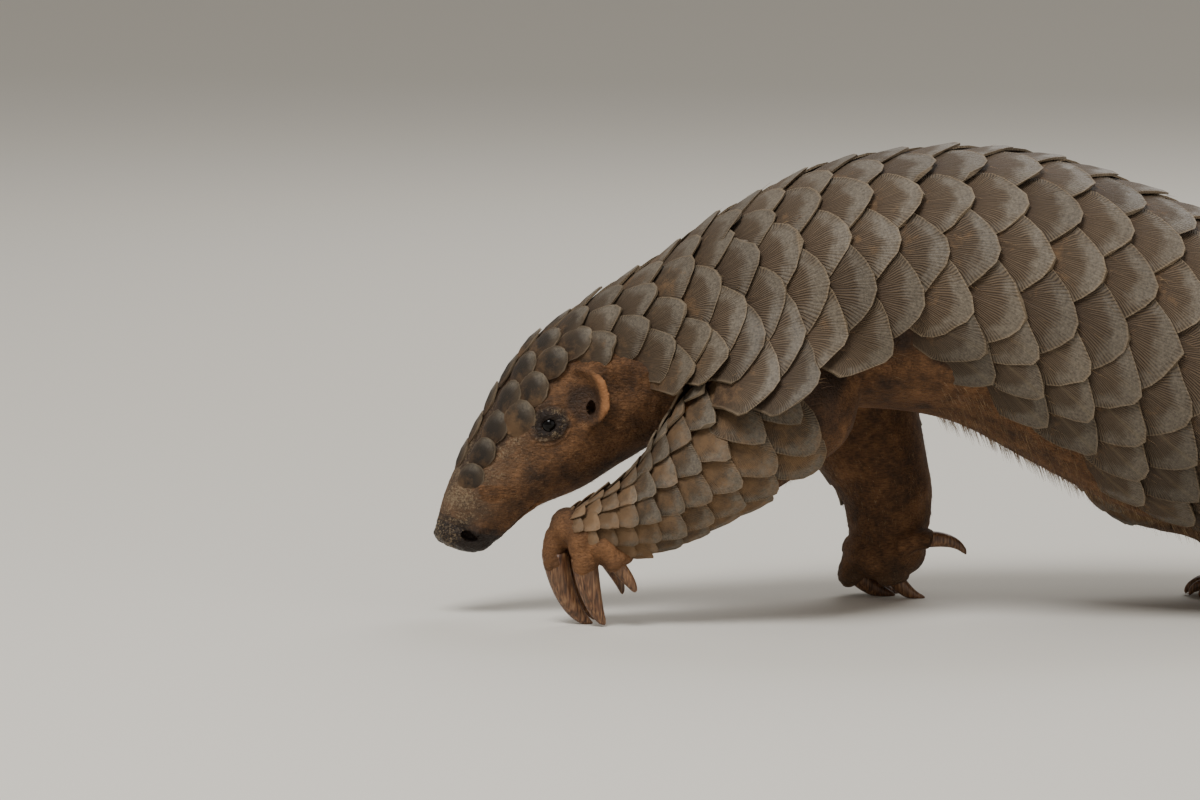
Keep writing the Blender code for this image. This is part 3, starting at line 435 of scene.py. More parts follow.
# Ears: a thick pale flap on an arc behind the ear hole, open to the front. Its ends are lower
# than its middle, and its rim is thicker and leans away from the hole.
EAR_X, EAR_Z = -0.2845, 0.0965
EAR_ARC = (98, -58)
EAR_RADIUS = 0.0122
EAR_HEIGHT = 0.0076
EAR_THICKNESS = 0.0034
EAR_SINK = 0.003
EAR_LEAN = 0.35
EAR_RIM = 0.35
EAR_STEPS, EAR_SIDES = 30, 16


def ear_rings(side):
    """Rings along the arc of an ear."""
    rings = []
    turns = np.radians(np.linspace(*EAR_ARC, EAR_STEPS))
    away = unit(np.array((0.25, side, 0.0)))
    rolls = turns_of(EAR_SIDES)[:, None]
    rise = 0.5 + 0.49 * fuller(np.cos(rolls))
    swell = 1.0 + EAR_RIM * smooth_step(0.55, 0.95, rise)
    for turn in turns:
        outward = np.array((math.cos(turn), 0.0, math.sin(turn)))
        spot, _ = side_spot(EAR_X + EAR_RADIUS * outward[0] * 0.8, EAR_Z + EAR_RADIUS * outward[2], side)
        share = (turn - turns[-1]) / (turns[0] - turns[-1])
        full = EAR_HEIGHT * (0.22 + 0.78 * math.sin(math.pi * share**0.8)) + EAR_SINK
        half = EAR_THICKNESS / 2 * (0.7 + 0.3 * math.sin(math.pi * share))
        flap = (away + outward * EAR_LEAN * rise) * full * rise
        rings.append(spot - away * EAR_SINK + flap + outward * half * np.sin(rolls) * swell)
    return np.array(rings)


EYE_RADIUS = 0.0043
EYE_SINK = 0.0012
EYE_X = -0.296
EYE_Z = 0.0855


def eye_place(side):
    """Centre of an eyeball, and the way it looks."""
    spot, out = side_spot(EYE_X, EYE_Z, side)
    return spot - out * (EYE_RADIUS - EYE_SINK), out


# Lids: a rim round each eye, thicker above, and pointed at its front and back corners.
LID_SPAN = (0.0054, 0.0043)
LID_SLANT = math.radians(30)
LID_RADIUS, LID_UPPER, LID_CORNER = 0.00150, 0.00035, 0.0004
LID_OUT, LID_CORNER_BACK = 0.0026, 0.0009
LID_POINTED = 0.12
LID_STEPS, LID_SIDES = 40, 12


def lid_rings(side):
    """Rings round the rim of an eye, ending with the first one again."""
    centre, out = eye_place(side)
    along = np.array((math.cos(LID_SLANT), 0.0, math.sin(LID_SLANT)))
    along = unit(along - out * (along @ out))
    up = np.cross(out, along) * (-side)
    up *= np.sign(up[2])
    rolls = turns_of(LID_SIDES)[:, None]
    rings = []
    for turn in turns_of(LID_STEPS):
        to_corner, rise = math.cos(turn), math.sin(turn)
        pointed = 1 + LID_POINTED * abs(to_corner) ** 6
        reach = along * LID_SPAN[0] * to_corner * pointed + up * LID_SPAN[1] * rise
        radius = LID_RADIUS + LID_UPPER * max(rise, 0.0) - LID_CORNER * abs(to_corner) ** 4
        middle = centre + out * (LID_OUT - LID_CORNER_BACK * abs(to_corner)) + reach
        rings.append(middle + (unit(reach) * np.cos(rolls) + out * np.sin(rolls)) * radius)
    return np.array(rings + rings[:1])


# The mouth: a slit that starts under the nose and runs back along both sides of the jaw.
MOUTH_START, MOUTH_LENGTH = 0.009, 0.026
MOUTH_TURN = math.radians(38)
MOUTH_POINTS = 17


def mouth_line(shift, lift):
    """Points along the slit of the mouth, moved aside by shift for the lips."""
    share = np.linspace(-1, 1, MOUTH_POINTS)
    reach = np.abs(share)
    along = MOUTH_START + MOUTH_LENGTH * reach**1.6 + shift * (1 - reach)
    turn = math.pi - MOUTH_TURN * reach**0.8
    turn = turn + shift * reach / trunk.rate(along, turn)
    return trunk.at(along, np.where(share < 0, -turn, turn), lift)[0]


def bent_rings(line, radii, sides):
    """Rings round a line that bends in any direction."""
    ahead = np.gradient(line, axis=0)
    across = unit(np.cross((0.2, 0.0, -1.0), ahead))
    upright = unit(np.cross(ahead, across))
    return rings_round(line, across, upright, radii, radii, sides)


for side in (-1, 1):
    flesh.append(rolled("ear", ear_rings(side)))
    flesh.append(rolled("lids", lid_rings(side), capped=False))
LIP_SHIFT, LIP_SINK, LIP_RADIUS = 0.0026, 0.0004, 0.0017
LIP_SIDES, SLIT_SIDES = 12, 10
LIP_TAPER = ((0, 0.45), (2, 1.0), (14, 1.0), (16, 0.45))
for shift in (-LIP_SHIFT, LIP_SHIFT):
    radii = LIP_RADIUS * between(LIP_TAPER, np.arange(MOUTH_POINTS))
    flesh.append(rolled("lip", bent_rings(mouth_line(shift, -LIP_SINK), radii, LIP_SIDES)))

SKIN_VOXEL = 0.0011
select(flesh)
bpy.ops.object.join()
skin = bpy.context.object


def apply_modifier(piece, kind, **settings):
    """Add a modifier with its settings, and apply it."""
    change = piece.modifiers.new(kind.title(), kind)
    for key, value in settings.items():
        setattr(change, key, value)
    select([piece])
    bpy.ops.object.modifier_apply(modifier=change.name)


apply_modifier(skin, "REMESH", mode="VOXEL", voxel_size=SKIN_VOXEL)
apply_modifier(skin, "SMOOTH", factor=0.5, iterations=5)

# Cutters for the eye sockets, nostrils, ear holes and the slit of the mouth.
SOCKET_GAP = 0.0002
EAR_HOLE = (-0.2775, 0.0930)
EAR_HOLE_RADII = (0.0021, 0.0055, 0.0034)
NOSTRIL_ALONG, NOSTRIL_TURN = 0.0042, 98.0
NOSTRIL_RADII = (0.0042, 0.0050, 0.0026)
SLIT_RADIUS, SLIT_LIFT = 0.0008, 0.0004
cutters = []
for side in (-1, 1):
    centre, _ = eye_place(side)
    cutters.append(ball("socket", centre, (EYE_RADIUS + SOCKET_GAP,) * 3))
    hole, _ = side_spot(*EAR_HOLE, side)
    cutters.append(ball("ear_hole", hole, EAR_HOLE_RADII))
    nose, _ = trunk.at(np.array([NOSTRIL_ALONG]), np.array([math.radians(-side * NOSTRIL_TURN)]))
    cutters.append(ball("nostril", nose[0], NOSTRIL_RADII, 15))
radii = np.full(MOUTH_POINTS, SLIT_RADIUS)
cutters.append(rolled("slit", bent_rings(mouth_line(0.0, SLIT_LIFT), radii, SLIT_SIDES)))
select(cutters)
bpy.ops.object.join()
cutter = bpy.context.object
apply_modifier(skin, "BOOLEAN", operation="DIFFERENCE", object=cutter, solver="MANIFOLD")
bpy.data.objects.remove(cutter)


def edit_chosen(piece, chosen):
    """Go into edit mode with only the chosen vertices selected."""
    select([piece])
    bpy.ops.object.mode_set(mode="EDIT")
    bpy.ops.mesh.select_mode(type="VERT")
    bpy.ops.mesh.select_all(action="DESELECT")
    bpy.ops.object.mode_set(mode="OBJECT")
    piece.data.vertices.foreach_set("select", chosen)
    bpy.ops.object.mode_set(mode="EDIT")


# Under the scales the skin needs only a few faces. The face and feet keep all of theirs, and
# the sides of the face round the eye, and the nose, get four for each one. The head lies ahead
# of an x, and the feet lie ahead of an x and lower than a z.
HEAD_BACK = -0.245
FEET_BACK_AND_TOP = ((-0.10, 0.036), (0.09, 0.022))
FACES_KEPT = 0.07
FINE_ROUND_EYE, CHEEK_Y, NOSE_BACK = 0.011, 0.012, -0.322
spots = spots_of(skin)
bare = spots[:, 0] < HEAD_BACK
for back, top in FEET_BACK_AND_TOP:
    bare |= (spots[:, 0] < back) & (spots[:, 2] < top)
edit_chosen(skin, ~bare)
bpy.ops.mesh.decimate(ratio=FACES_KEPT)
bpy.ops.object.mode_set(mode="OBJECT")
spots = spots_of(skin)
near_eye = np.hypot(spots[:, 0] - EYE_X, spots[:, 2] - EYE_Z) < FINE_ROUND_EYE
on_nose = spots[:, 0] + 0.25 * (spots[:, 2] - 0.03) < NOSE_BACK
edit_chosen(skin, (near_eye & (np.abs(spots[:, 1]) > CHEEK_Y)) | on_nose)
bpy.ops.mesh.subdivide(number_cuts=1, smoothness=0.6)
bpy.ops.mesh.vertices_smooth(factor=0.5, repeat=2)
bpy.ops.object.mode_set(mode="OBJECT")

TRUNK_STOPS = 260


def trunk_places(spots):
    """Length along and angle round the trunk for points near it."""
    stops = np.linspace(0, trunk.length, TRUNK_STOPS)
    middle, half, width = trunk.sections(np.interp(stops, trunk.lengths, trunk.places))
    size = (half**2).sum(axis=1)
    flat = np.stack([-half[:, 2], 0 * size, half[:, 0]], axis=1) / np.sqrt(size)[:, None]
    best = np.full(len(spots), np.inf)
    chosen = np.zeros(len(spots), int)
    for i in range(len(stops)):
        away = spots - middle[i]
        off = np.abs(away @ flat[i]) + 0.05 * np.linalg.norm(away, axis=1)
        closer = off < best
        best[closer] = off[closer]
        chosen[closer] = i
    away = spots - middle[chosen]
    up = (away * half[chosen]).sum(axis=1) / size[chosen]
    return stops[chosen], np.arctan2(-away[:, 1] / width[chosen], up)


def noises(spots, size, seed=0.0):
    """Smooth noise from -1 to 1 at points, with lumps of about the given size."""
    shifted = spots / size + seed
    return np.array([noise.noise(Vector(spot)) for spot in shifted])


# Pushes of the thumb on both sides of the head: x, z, reach, and how far the skin is moved out.
PUSHES = (
    (-0.2965, 0.0945, 0.0070, 0.0010), (-0.2840, 0.1000, 0.0075, -0.0016), (-0.2850, 0.0745, 0.0140, 0.0010),
    (-0.3120, 0.0700, 0.0110, -0.0010), (-0.2655, 0.1010, 0.0060, -0.0012), (-0.3270, 0.0375, 0.0040, 0.0016),
    (-0.3420, 0.0360, 0.0036, 0.0012), (-0.3350, 0.0410, 0.0040, -0.0008), (-0.2800, 0.0840, 0.0032, 0.0011),
    (-0.2760, 0.0820, 0.0030, -0.0009), (-0.2560, 0.0960, 0.0060, 0.0012), (-0.2470, 0.1040, 0.0050, -0.0010),
    (-0.2900, 0.0780, 0.0050, -0.0006), (-0.3050, 0.0870, 0.0050, -0.0008),
)
spots = spots_of(skin)
outs = np.empty(len(spots) * 3)
skin.data.vertices.foreach_get("normal", outs)
outs = outs.reshape(-1, 3)
along, angle = trunk_places(spots)
turn = np.degrees(np.abs(angle))
# The face is what lies ahead of the neck, less the left hand, which hangs beside it.
face = (spots[:, 0] < -0.235) & (np.abs(spots[:, 1]) < 0.075) & (spots[:, 2] > 0.024) & (along < 0.16)
face &= ~((spots[:, 1] < -0.028) & (spots[:, 2] < 0.058))
lateral = np.clip(np.abs(outs[:, 1]) * 1.4, 0, 1)
shift = np.zeros(len(spots))
for x, z, reach, push in PUSHES:
    shift += face * lateral * push * bell(np.hypot(spots[:, 0] - x, spots[:, 2] - z), 0, reach)
# Distance from the eye, on ovals that slant and are drawn out as the lids are.
EYE_OVAL = (1.15, 0.92)
from_eye = spots[:, (0, 2)] - (EYE_X, EYE_Z)
slant = np.array((math.cos(LID_SLANT), math.sin(LID_SLANT)))
to_eye = np.hypot(from_eye @ slant / EYE_OVAL[0], from_eye @ (-slant[1], slant[0]) / EYE_OVAL[1])
# Creases ring the eye 2.2 mm apart.
CREASE_GAP, CREASE_DEPTH = 0.0022, 0.0003
creases = np.sin(to_eye * 2 * math.pi / CREASE_GAP + 2 * noises(spots, 0.004))
shift += face * bell(to_eye, 0.0085, 0.003) * CREASE_DEPTH * creases
# The wet nose pad, the snout behind it, the crust on the lids, the cheek, the side of the neck,
# and the feet up to wrists and ankles.
pad = face * smooth_step(0.013, 0.006, along + 0.002 * noises(spots, 0.003, 3.0))
snout = face * smooth_step(0.05, 0.02, along) * (1 - pad)
crust = face * bell(to_eye, 0.0072, 0.0022)
cheek = face * smooth_step(0.03, 0.06, along)
neck = face * smooth_step(0.085, 0.11, along)
feet = (spots[:, 2] < 0.055) * ~face * smooth_step(0.002, 0.006, spots[:, 2])
# Relief in the skin: where it is, its height, the shares that draw its lumps out along x, y and
# z, the size of a lump, the noise's own number, and whether it only rises.
RELIEF = (
    (pad, 0.00045, (1.0, 1.0, 1.0), 0.0024, 1.0, False),
    (pad, 0.00020, (1.0, 1.0, 1.0), 0.0009, 2.0, False),
    (snout, 0.00025, (1.0, 1.0, 1.0), 0.0011, 4.0, True),
    (crust, 0.00050, (1.0, 1.0, 1.0), 0.0010, 8.0, True),
    (cheek, 0.00060, (0.8, 1.0, 1.0), 0.0090, 9.0, False),
    (cheek, 0.00018, (1.0, 1.0, 1.0), 0.0018, 10.0, False),
    (neck, 0.00070, (1.0, 0.35, 0.4), 0.0032, 5.0, False),
    (feet, 0.00050, (0.4, 0.4, 1.0), 0.0018, 6.0, False),
    (feet, 0.00060, (1.0, 1.0, 1.0), 0.0060, 11.0, False),
)
for zone, height, drawn, size, seed, rises in RELIEF:
    lumps = noises(spots * drawn, size, seed)
    shift += zone * height * (np.abs(lumps) if rises else lumps)
spots += outs * shift[:, None]
put_spots(skin, spots)

# Marks on the skin, one colour for each vertex: red is dark mud and painted shade, green is pale
# bare skin and blue is dry sand caked on it. Mud lies on nose and lids, and painted shade darkens
# the ear bowl and the skin under the scales.
UNDER_SCALES_SHADE, EAR_BOWL_SHADE = 0.7, 0.65
ear_edge = np.hypot((spots[:, 0] - EAR_X) / 0.9, spots[:, 2] - EAR_Z)
stands_off = np.zeros(len(spots))
for side in (-1, 1):
    line, _ = side_spot(EAR_X + 0.008, EAR_Z, side)
    stands_off = np.maximum(stands_off, smooth_step(0.0030, 0.0065, side * (spots[:, 1] - line[1])))
in_ear = face * stands_off * smooth_step(0.0085, 0.0115, ear_edge)
in_bowl = smooth_step(0.0095, 0.0060, np.hypot(spots[:, 0] + 0.2805, spots[:, 2] - 0.0950)) * (1 - in_ear)
on_lids = smooth_step(0.0098, 0.0050, to_eye + 0.0026 * noises(spots, 0.0035, 7.0))
scaled = smooth_step(-2, 6, between(SCALED_TO, along) - turn)
scaled = scaled * (np.abs(spots[:, 1]) < 0.072) * ((spots[:, 2] > 0.03) | (spots[:, 0] > 0.1))
mud_and_shade = np.maximum(pad, face * on_lids)
# Painted shade: the skin under the scales is darkened as though shaded by them.
mud_and_shade = np.maximum(mud_and_shade, UNDER_SCALES_SHADE * scaled)
# Painted shade: the ear bowl is darkened as though shaded by the flap.
mud_and_shade = np.maximum(mud_and_shade, EAR_BOWL_SHADE * face * in_bowl)
# Pale are the ear's rim and, a little, the left toes.
EAR_PALE, TOES_PALE = 0.7, 0.12
toes = smooth_step(0.050, 0.040, spots[:, 2]) * (spots[:, 0] < HEAD_BACK) * ~face
pale = np.maximum(EAR_PALE * in_ear, TOES_PALE * toes)
# Sand cakes behind the nose, along the top of the snout, low on the feet, and in crumbs round
# the lids.
crumbs = bell(to_eye + 0.0016 * noises(spots, 0.003, 12.0), 0.0066, 0.0018)
crumbs = crumbs * (0.7 + 0.8 * noises(spots, 0.005, 13.0))
caked = 0.75 * face * bell(along, 0.018, 0.009) * smooth_step(150, 60, turn)
caked = np.maximum(caked, 0.65 * face * smooth_step(0.10, 0.03, along) * smooth_step(125, 60, turn))
caked = np.maximum(caked, 0.5 * smooth_step(0.022, 0.004, spots[:, 2]) * ~face)
caked = np.maximum(caked, 0.85 * face * crumbs)
marks = skin.data.color_attributes.new("marks", "FLOAT_COLOR", "POINT")
marks.data.foreach_set("color", np.stack([mud_and_shade, pale, caked, np.ones(len(spots))], axis=1).ravel())
edit_chosen(skin, np.ones(len(spots), bool))
bpy.ops.mesh.faces_shade_smooth()
bpy.ops.object.mode_set(mode="OBJECT")
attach(skin, "root")
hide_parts("head", "neck", "chest", "torso", "tail_root", "tail_middle", "tail_end",
            "foreleg_left", "foreleg_right", "hindleg_left", "hindleg_right",
            "forefoot_left", "forefoot_right", "hindfoot_left", "hindfoot_right", "ear_left", "ear_right")


def linear(hex_colour):
    """An sRGB hex colour as linear red, green, blue and alpha."""
    parts = [int(hex_colour[i:i + 2], 16) / 255 for i in (1, 3, 5)]
    return [part / 12.92 if part <= 0.04045 else ((part + 0.055) / 1.055) ** 2.4 for part in parts] + [1.0]


def plug(socket, value):
    """Fill an input with a value or a colour, or link it to a socket or a node's first live output."""
    if isinstance(value, bpy.types.Node):
        value = next(output for output in value.outputs if output.enabled)
    if isinstance(value, bpy.types.NodeSocket):
        socket.id_data.links.new(value, socket)
    else:
        socket.default_value = linear(value) if isinstance(value, str) else value


def add_node(tree, kind, *values, stops=(), **settings):
    """Add one node, with its live inputs in order, or its inputs and properties by name."""
    node = tree.nodes.new("ShaderNode" + kind)
    if stops:
        ramp = node.color_ramp.elements
        while len(ramp) < len(stops):
            ramp.new(1.0)
        for element, (place, colour) in zip(ramp, stops):
            element.position = place
            element.color = linear(colour) if isinstance(colour, str) else (colour, colour, colour, 1.0)
    for key, value in settings.items():
        if key in node.bl_rna.properties:
            setattr(node, key, value)
        else:
            plug(node.inputs[key.replace("_", " ")], value)
    for socket, value in zip([socket for socket in node.inputs if socket.enabled], values):
        plug(socket, value)
    return node


def new_finish(name, **settings):
    """A material by the name of its real finish, its tree and its shader."""
    made = bpy.data.materials.new(name)
    made.use_nodes = True
    shader = made.node_tree.nodes["Principled BSDF"]
    for key, value in settings.items():
        plug(shader.inputs[key.replace("_", " ")], value)
    return made, made.node_tree, shader


# Leathery skin, reddish brown with blotches 12 mm across, short dark hair 0.7 mm apart and fine
# wrinkles 2.2 mm apart. Mud darkens nose and lids, painted shade darkens the ear bowl and the skin
# under the scales, and pale sand cakes on snout, lids and feet.
BLOTCH, SHORT_HAIR, GRIT, SAND_PATCH, WRINKLE_GAP, SKIN_FOLD = 0.012, 0.0007, 0.0010, 0.007, 0.0022, 0.005
leather, tree, shader = new_finish("leathery_skin", Roughness=0.72, Specular_IOR_Level=0.3)
place = add_node(tree, "TexCoord").outputs["Object"]
blotch = add_node(tree, "TexNoise", Vector=place, Scale=1 / BLOTCH, Detail=5.0, Roughness=0.65)
colour = add_node(tree, "ValToRGB", blotch, stops=((0.32, "#3a281a"), (0.50, "#5f4128"), (0.68, "#805a3a")))
lie = add_node(tree, "Mapping", Vector=place, Rotation=(0.0, math.radians(-35), 0.0), Scale=(0.25, 1.0, 1.0))
hair = add_node(tree, "TexNoise", Vector=lie, Scale=1 / SHORT_HAIR, Detail=3.0, Roughness=0.75)
dark = add_node(tree, "ValToRGB", hair, stops=((0.36, 0.42), (0.52, 1.0), (0.66, 1.35)))
colour = add_node(tree, "Mix", 0.8, colour, dark, data_type="RGBA", blend_type="MULTIPLY")
marked = add_node(tree, "Attribute", attribute_name="marks")
mud_and_shade, pale, caked = add_node(tree, "SeparateColor", marked).outputs
colour = add_node(tree, "Mix", pale, colour, "#b47d50", data_type="RGBA")
film = add_node(tree, "Math", caked, 0.75, operation="MULTIPLY")
colour = add_node(tree, "Mix", film, colour, "#5b4c3d", data_type="RGBA")
# Dark mud on nose and lids, and painted shade in the ear bowl and under the scales.
colour = add_node(tree, "Mix", mud_and_shade, colour, "#21160f", data_type="RGBA")
grit = add_node(tree, "TexNoise", Vector=place, Scale=1 / GRIT, Detail=3.0, Roughness=0.8)
patch = add_node(tree, "TexNoise", Vector=place, Scale=1 / SAND_PATCH, Detail=2.0)
sandy = add_node(tree, "Math", patch, 0.35, grit, operation="MULTIPLY_ADD")
sandy = add_node(tree, "Math", caked, 0.34, sandy, operation="MULTIPLY_ADD")
sandy = add_node(tree, "MapRange", sandy, From_Min=0.89, From_Max=1.02, To_Max=0.75)
colour = add_node(tree, "Mix", sandy, colour, "#87745a", data_type="RGBA")
gloss = add_node(tree, "MapRange", mud_and_shade, To_Min=0.72, To_Max=0.48)
wrinkle = add_node(tree, "TexVoronoi", feature="DISTANCE_TO_EDGE", Vector=place, Scale=1 / WRINKLE_GAP)
wrinkle = add_node(tree, "MapRange", wrinkle, From_Max=0.25)
fold = add_node(tree, "Mapping", Vector=place, Scale=(1.0, 1.0, 0.45))
fold = add_node(tree, "TexNoise", Vector=fold, Scale=1 / SKIN_FOLD, Detail=2.0)
relief = add_node(tree, "Math", hair, 0.9, grit, operation="MULTIPLY_ADD")
relief = add_node(tree, "Math", wrinkle, 0.45, relief, operation="MULTIPLY_ADD")
relief = add_node(tree, "Math", fold, 2.4, relief, operation="MULTIPLY_ADD")
bump = add_node(tree, "Bump", Strength=0.7, Distance=0.0008, Height=relief)
plug(shader.inputs["Base Color"], colour)
plug(shader.inputs["Roughness"], gloss)
plug(shader.inputs["Normal"], bump)
# The cut of the openings leaves an empty slot, which is cleared first.
skin.data.materials.clear()
skin.data.materials.append(leather)

# Eyes: small, nearly black and wet, each a smooth ball set deep in its socket, with a cornea
# that stands a little proud and gives one sharp highlight.
EYE_CLOUD = 0.0015
wet_eye, tree, shader = new_finish("wet_cornea", Roughness=0.05, IOR=1.38, Specular_IOR_Level=0.3)
place = add_node(tree, "TexCoord").outputs["Object"]
depth = add_node(tree, "TexNoise", Vector=place, Scale=1 / EYE_CLOUD)
tint = add_node(tree, "ValToRGB", depth, stops=((0.35, "#030202"), (0.7, "#0a0705")))
plug(shader.inputs["Base Color"], tint)
CORNEA_REACH = 0.0026
CORNEA_RISE = 0.0004
for side, label in ((-1, "left"), (1, "right")):
    centre, out = eye_place(side)
    eye = ball(f"eyeball_{label}", centre, (EYE_RADIUS,) * 3, segments=64, rings=48)
    round_spots = spots_of(eye)
    facing = (round_spots - centre) @ out / EYE_RADIUS
    off_axis = EYE_RADIUS * np.sqrt(np.clip(1 - facing**2, 0, 1))
    proud = CORNEA_RISE * bell(off_axis, 0, CORNEA_REACH) * (facing > 0)
    put_spots(eye, round_spots + np.outer(proud, out))
    select([eye])
    bpy.ops.object.shade_smooth()
    eye.data.materials.append(wet_eye)
    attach(eye, "root")
    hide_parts(f"eye_{label}")

# Claws: curved horn, thick at the root, ridged along its length and worn blunt at the tip,
# five on each foot. The colour is lighter on the ridges and darker in the grooves, partly the horn's
# grain and partly painted highlight and shade, and soil stains it in patches.
HORN_GROOVE, HORN_STAIN = 0.0008, 0.006
horn, tree, shader = new_finish("soil_stained_horn", Roughness=0.42)
place = add_node(tree, "TexCoord").outputs["Object"]
lie = add_node(tree, "Mapping", Vector=place, Scale=(1.0, 1.0, 0.12))
groove = add_node(tree, "TexNoise", Vector=lie, Scale=1 / HORN_GROOVE, Detail=3.0)
stain = add_node(tree, "TexNoise", Vector=place, Scale=1 / HORN_STAIN, Detail=3.0)
# Ridges lighter and grooves darker: partly horn grain, partly painted highlight and shade.
tint = add_node(tree, "ValToRGB", groove, stops=((0.32, "#38241a"), (0.5, "#6a472e"), (0.7, "#94704e")))
soil = add_node(tree, "MapRange", stain, From_Min=0.45, From_Max=0.7, To_Max=0.6)
tint = add_node(tree, "Mix", soil, tint, "#5a4430", data_type="RGBA")
bump = add_node(tree, "Bump", Strength=0.5, Distance=0.0003, Height=groove)
plug(shader.inputs["Base Color"], tint)
plug(shader.inputs["Normal"], bump)
CLAW_POINTS, CLAW_SIDES = 22, 20
CLAW_STOUT = 1.6
CLAW_NARROW = 0.80
CLAW_TAPER = 0.80
CLAW_ROOTED = 0.7
BLUNT_END = (0.8, 0.35)
for foot, rows in digits.items():
    for name, y, flesh_line, _, line, radius in rows:
        ends = [(x, y, z) for x, z in line]
        root = np.array((flesh_line[1][0], y, flesh_line[1][1]))
        ends[0] = ends[0] + (root - ends[0]) * CLAW_ROOTED
        centres = curve_through(ends, CLAW_POINTS)
        heights = CLAW_STOUT * radius * (1 - CLAW_TAPER * np.linspace(0, 1, CLAW_POINTS) ** 1.5)
        heights[-2:] *= BLUNT_END
        claw = rolled(f"{foot}_claw_{name}", tube_rings(centres, heights, CLAW_NARROW * heights, CLAW_SIDES))
        put_spots(claw, spots_of(claw))
        select([claw])
        bpy.ops.object.shade_smooth()
        claw.data.materials.append(horn)
        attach(claw, "root")
        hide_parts(f"claw_{foot}_{name}")

# Scales: overlapping plates of keratin, each a broad fan with a blunt point. One is modelled
# from a small grid, and its copies are bent to the body in rows of their own lag and size.
SCALE_ANCHOR = 0.2872
TAIL_TIP = 0.749
SCALE_PITCH = (
    (0.030, 0.0115), (0.110, 0.0125), (0.130, 0.0155), (0.170, 0.0175), (0.210, 0.0200), (0.250, 0.0210),
    (0.290, 0.0238), (0.360, 0.0240), (0.430, 0.0225), (0.500, 0.0210), (0.600, 0.0190), (0.745, 0.0120),
)
# Each row: how far it lags the even rows in pitches, its points (length along, degrees), both sides.
SCALE_ROWS = (
    (0.75, ((0.041, 0), (0.742, 0)), False),
    (0.25, ((0.033, 54), (0.050, 46), (0.070, 38), (0.095, 26), (0.140, 23), (0.300, 24), (0.738, 24)), True),
    (0.0, ((0.066, 61), (0.098, 48), (0.140, 42), (0.170, 36), (0.205, 40), (0.250, 48), (0.300, 46),
           (0.360, 42), (0.480, 48), (0.738, 52)), True),
    (0.5, ((0.106, 62), (0.140, 65), (0.175, 57), (0.205, 62), (0.254, 73), (0.300, 67), (0.360, 62),
           (0.480, 74), (0.600, 86), (0.738, 90)), True),
    (0.0, ((0.122, 82), (0.150, 86), (0.170, 79), (0.205, 84), (0.250, 95), (0.300, 88), (0.360, 83),
           (0.470, 100)), True),
    (0.3, ((0.131, 98), (0.171, 95), (0.205, 105), (0.238, 119)), True),
    (0.3, ((0.268, 107), (0.300, 101), (0.360, 99), (0.478, 122)), True),
    (0.45, ((0.160, 112), (0.178, 122), (0.198, 132)), True),
    (0.45, ((0.272, 121), (0.300, 114), (0.360, 115), (0.470, 140)), True),
    (0.55, ((0.295, 128), (0.360, 132), (0.440, 150)), True),
    (0.6, ((0.342, 147), (0.430, 160)), True),
    (0.0, ((0.500, 108), (0.600, 122), (0.720, 130)), True),
    (0.5, ((0.490, 146), (0.600, 152), (0.720, 156)), True),
    (0.0, ((0.490, 180), (0.735, 180)), False),
)
SCALE_TURN = ((75, 0), (95, 8), (112, 20), (130, 28), (150, 20), (180, 0))
SCALE_TURN_END = ((0.44, 1.0), (0.49, 0.0))
# The small round scales of the head are no wider than this.
WIDEST = ((0.03, 0.0078), (0.10, 0.0086), (0.115, 0.0098), (0.14, 0.0125), (0.16, 0.0200))
BUTTON_END = (0.118, 0.098)
SCALE_LENGTH = 1.85
SCALE_SIDE = 1.16
SCALE_LIFTS = ((0.0, 0.0018), (0.14, 0.0021), (0.6, 0.0007), (1.1, -0.0011), (1.5, -0.0038), (1.85, -0.0058))
SCALE_THICKNESS = 0.0010
MANTLE_LIFT = 0.0006
BUTTON_LENGTH = 1.22
BUTTON_SIDE = 0.94
BUTTON_RISE = 0.0009
BUTTON_LIFT = -0.0001
BUTTON_TILT = 0.0014
# Limb scales: pitch and half width at half way, the way they point (length, degrees from down
# the limb to its back edge), the lengths that they cover, the degrees round it where they start,
# and the degrees where they end (length, degrees).
FRONT_LEFT_WAYS = ((0.030, 62), (0.075, 112), (0.142, 128))
FRONT_LEFT_ENDS = ((0.046, 160), (0.070, 188), (0.090, 212), (0.118, 212), (0.146, 135))
HIND_WAYS = ((0.040, 45), (0.096, 35))
LIMB_SCALES = {
    "foreleg_left": (0.0148, 0.0092, FRONT_LEFT_WAYS, (0.036, 0.153), -62, FRONT_LEFT_ENDS),
    "foreleg_right": (0.0145, 0.0090, ((0.050, 50), (0.100, 50)), (0.046, 0.100), 28, ((0.0, 160),)),
    "hindleg_left": (0.0145, 0.0090, HIND_WAYS, (0.036, 0.098), -40, ((0.0, 155),)),
    "hindleg_right": (0.0145, 0.0090, HIND_WAYS, (0.036, 0.098), -40, ((0.0, 155),)),
}
# Rows count as neighbours from this far past their ends, and from this angle away.
ROW_REACH, LEAST_GAP = 0.012, math.radians(6)
# A scale's size, its place round the body and its lean vary by these, and one of this pitch or
# more stands up in full.
SIZES = (0.95, 1.05)
SWAY, TRUNK_LEAN, LIMB_LEAN = 0.012, 0.05, 0.08
FULL_PITCH = 0.0145
LIMB_LIFT, LIMB_KEEL = 0.85, 0.2
ROWS_TRIED = 20


def row_places(lag, first, last):
    """Lengths along the trunk where the scales of a row have their tips."""
    start = SCALE_ANCHOR + lag * between(SCALE_PITCH, SCALE_ANCHOR)
    places = []
    for way in (-1, 1):
        place = start if way > 0 else start - between(SCALE_PITCH, start)
        while 0.0 < place < TAIL_TIP:
            if first <= place <= last:
                places.append(place)
            place += way * between(SCALE_PITCH, place + way * 0.5 * between(SCALE_PITCH, place))
    return sorted(places)


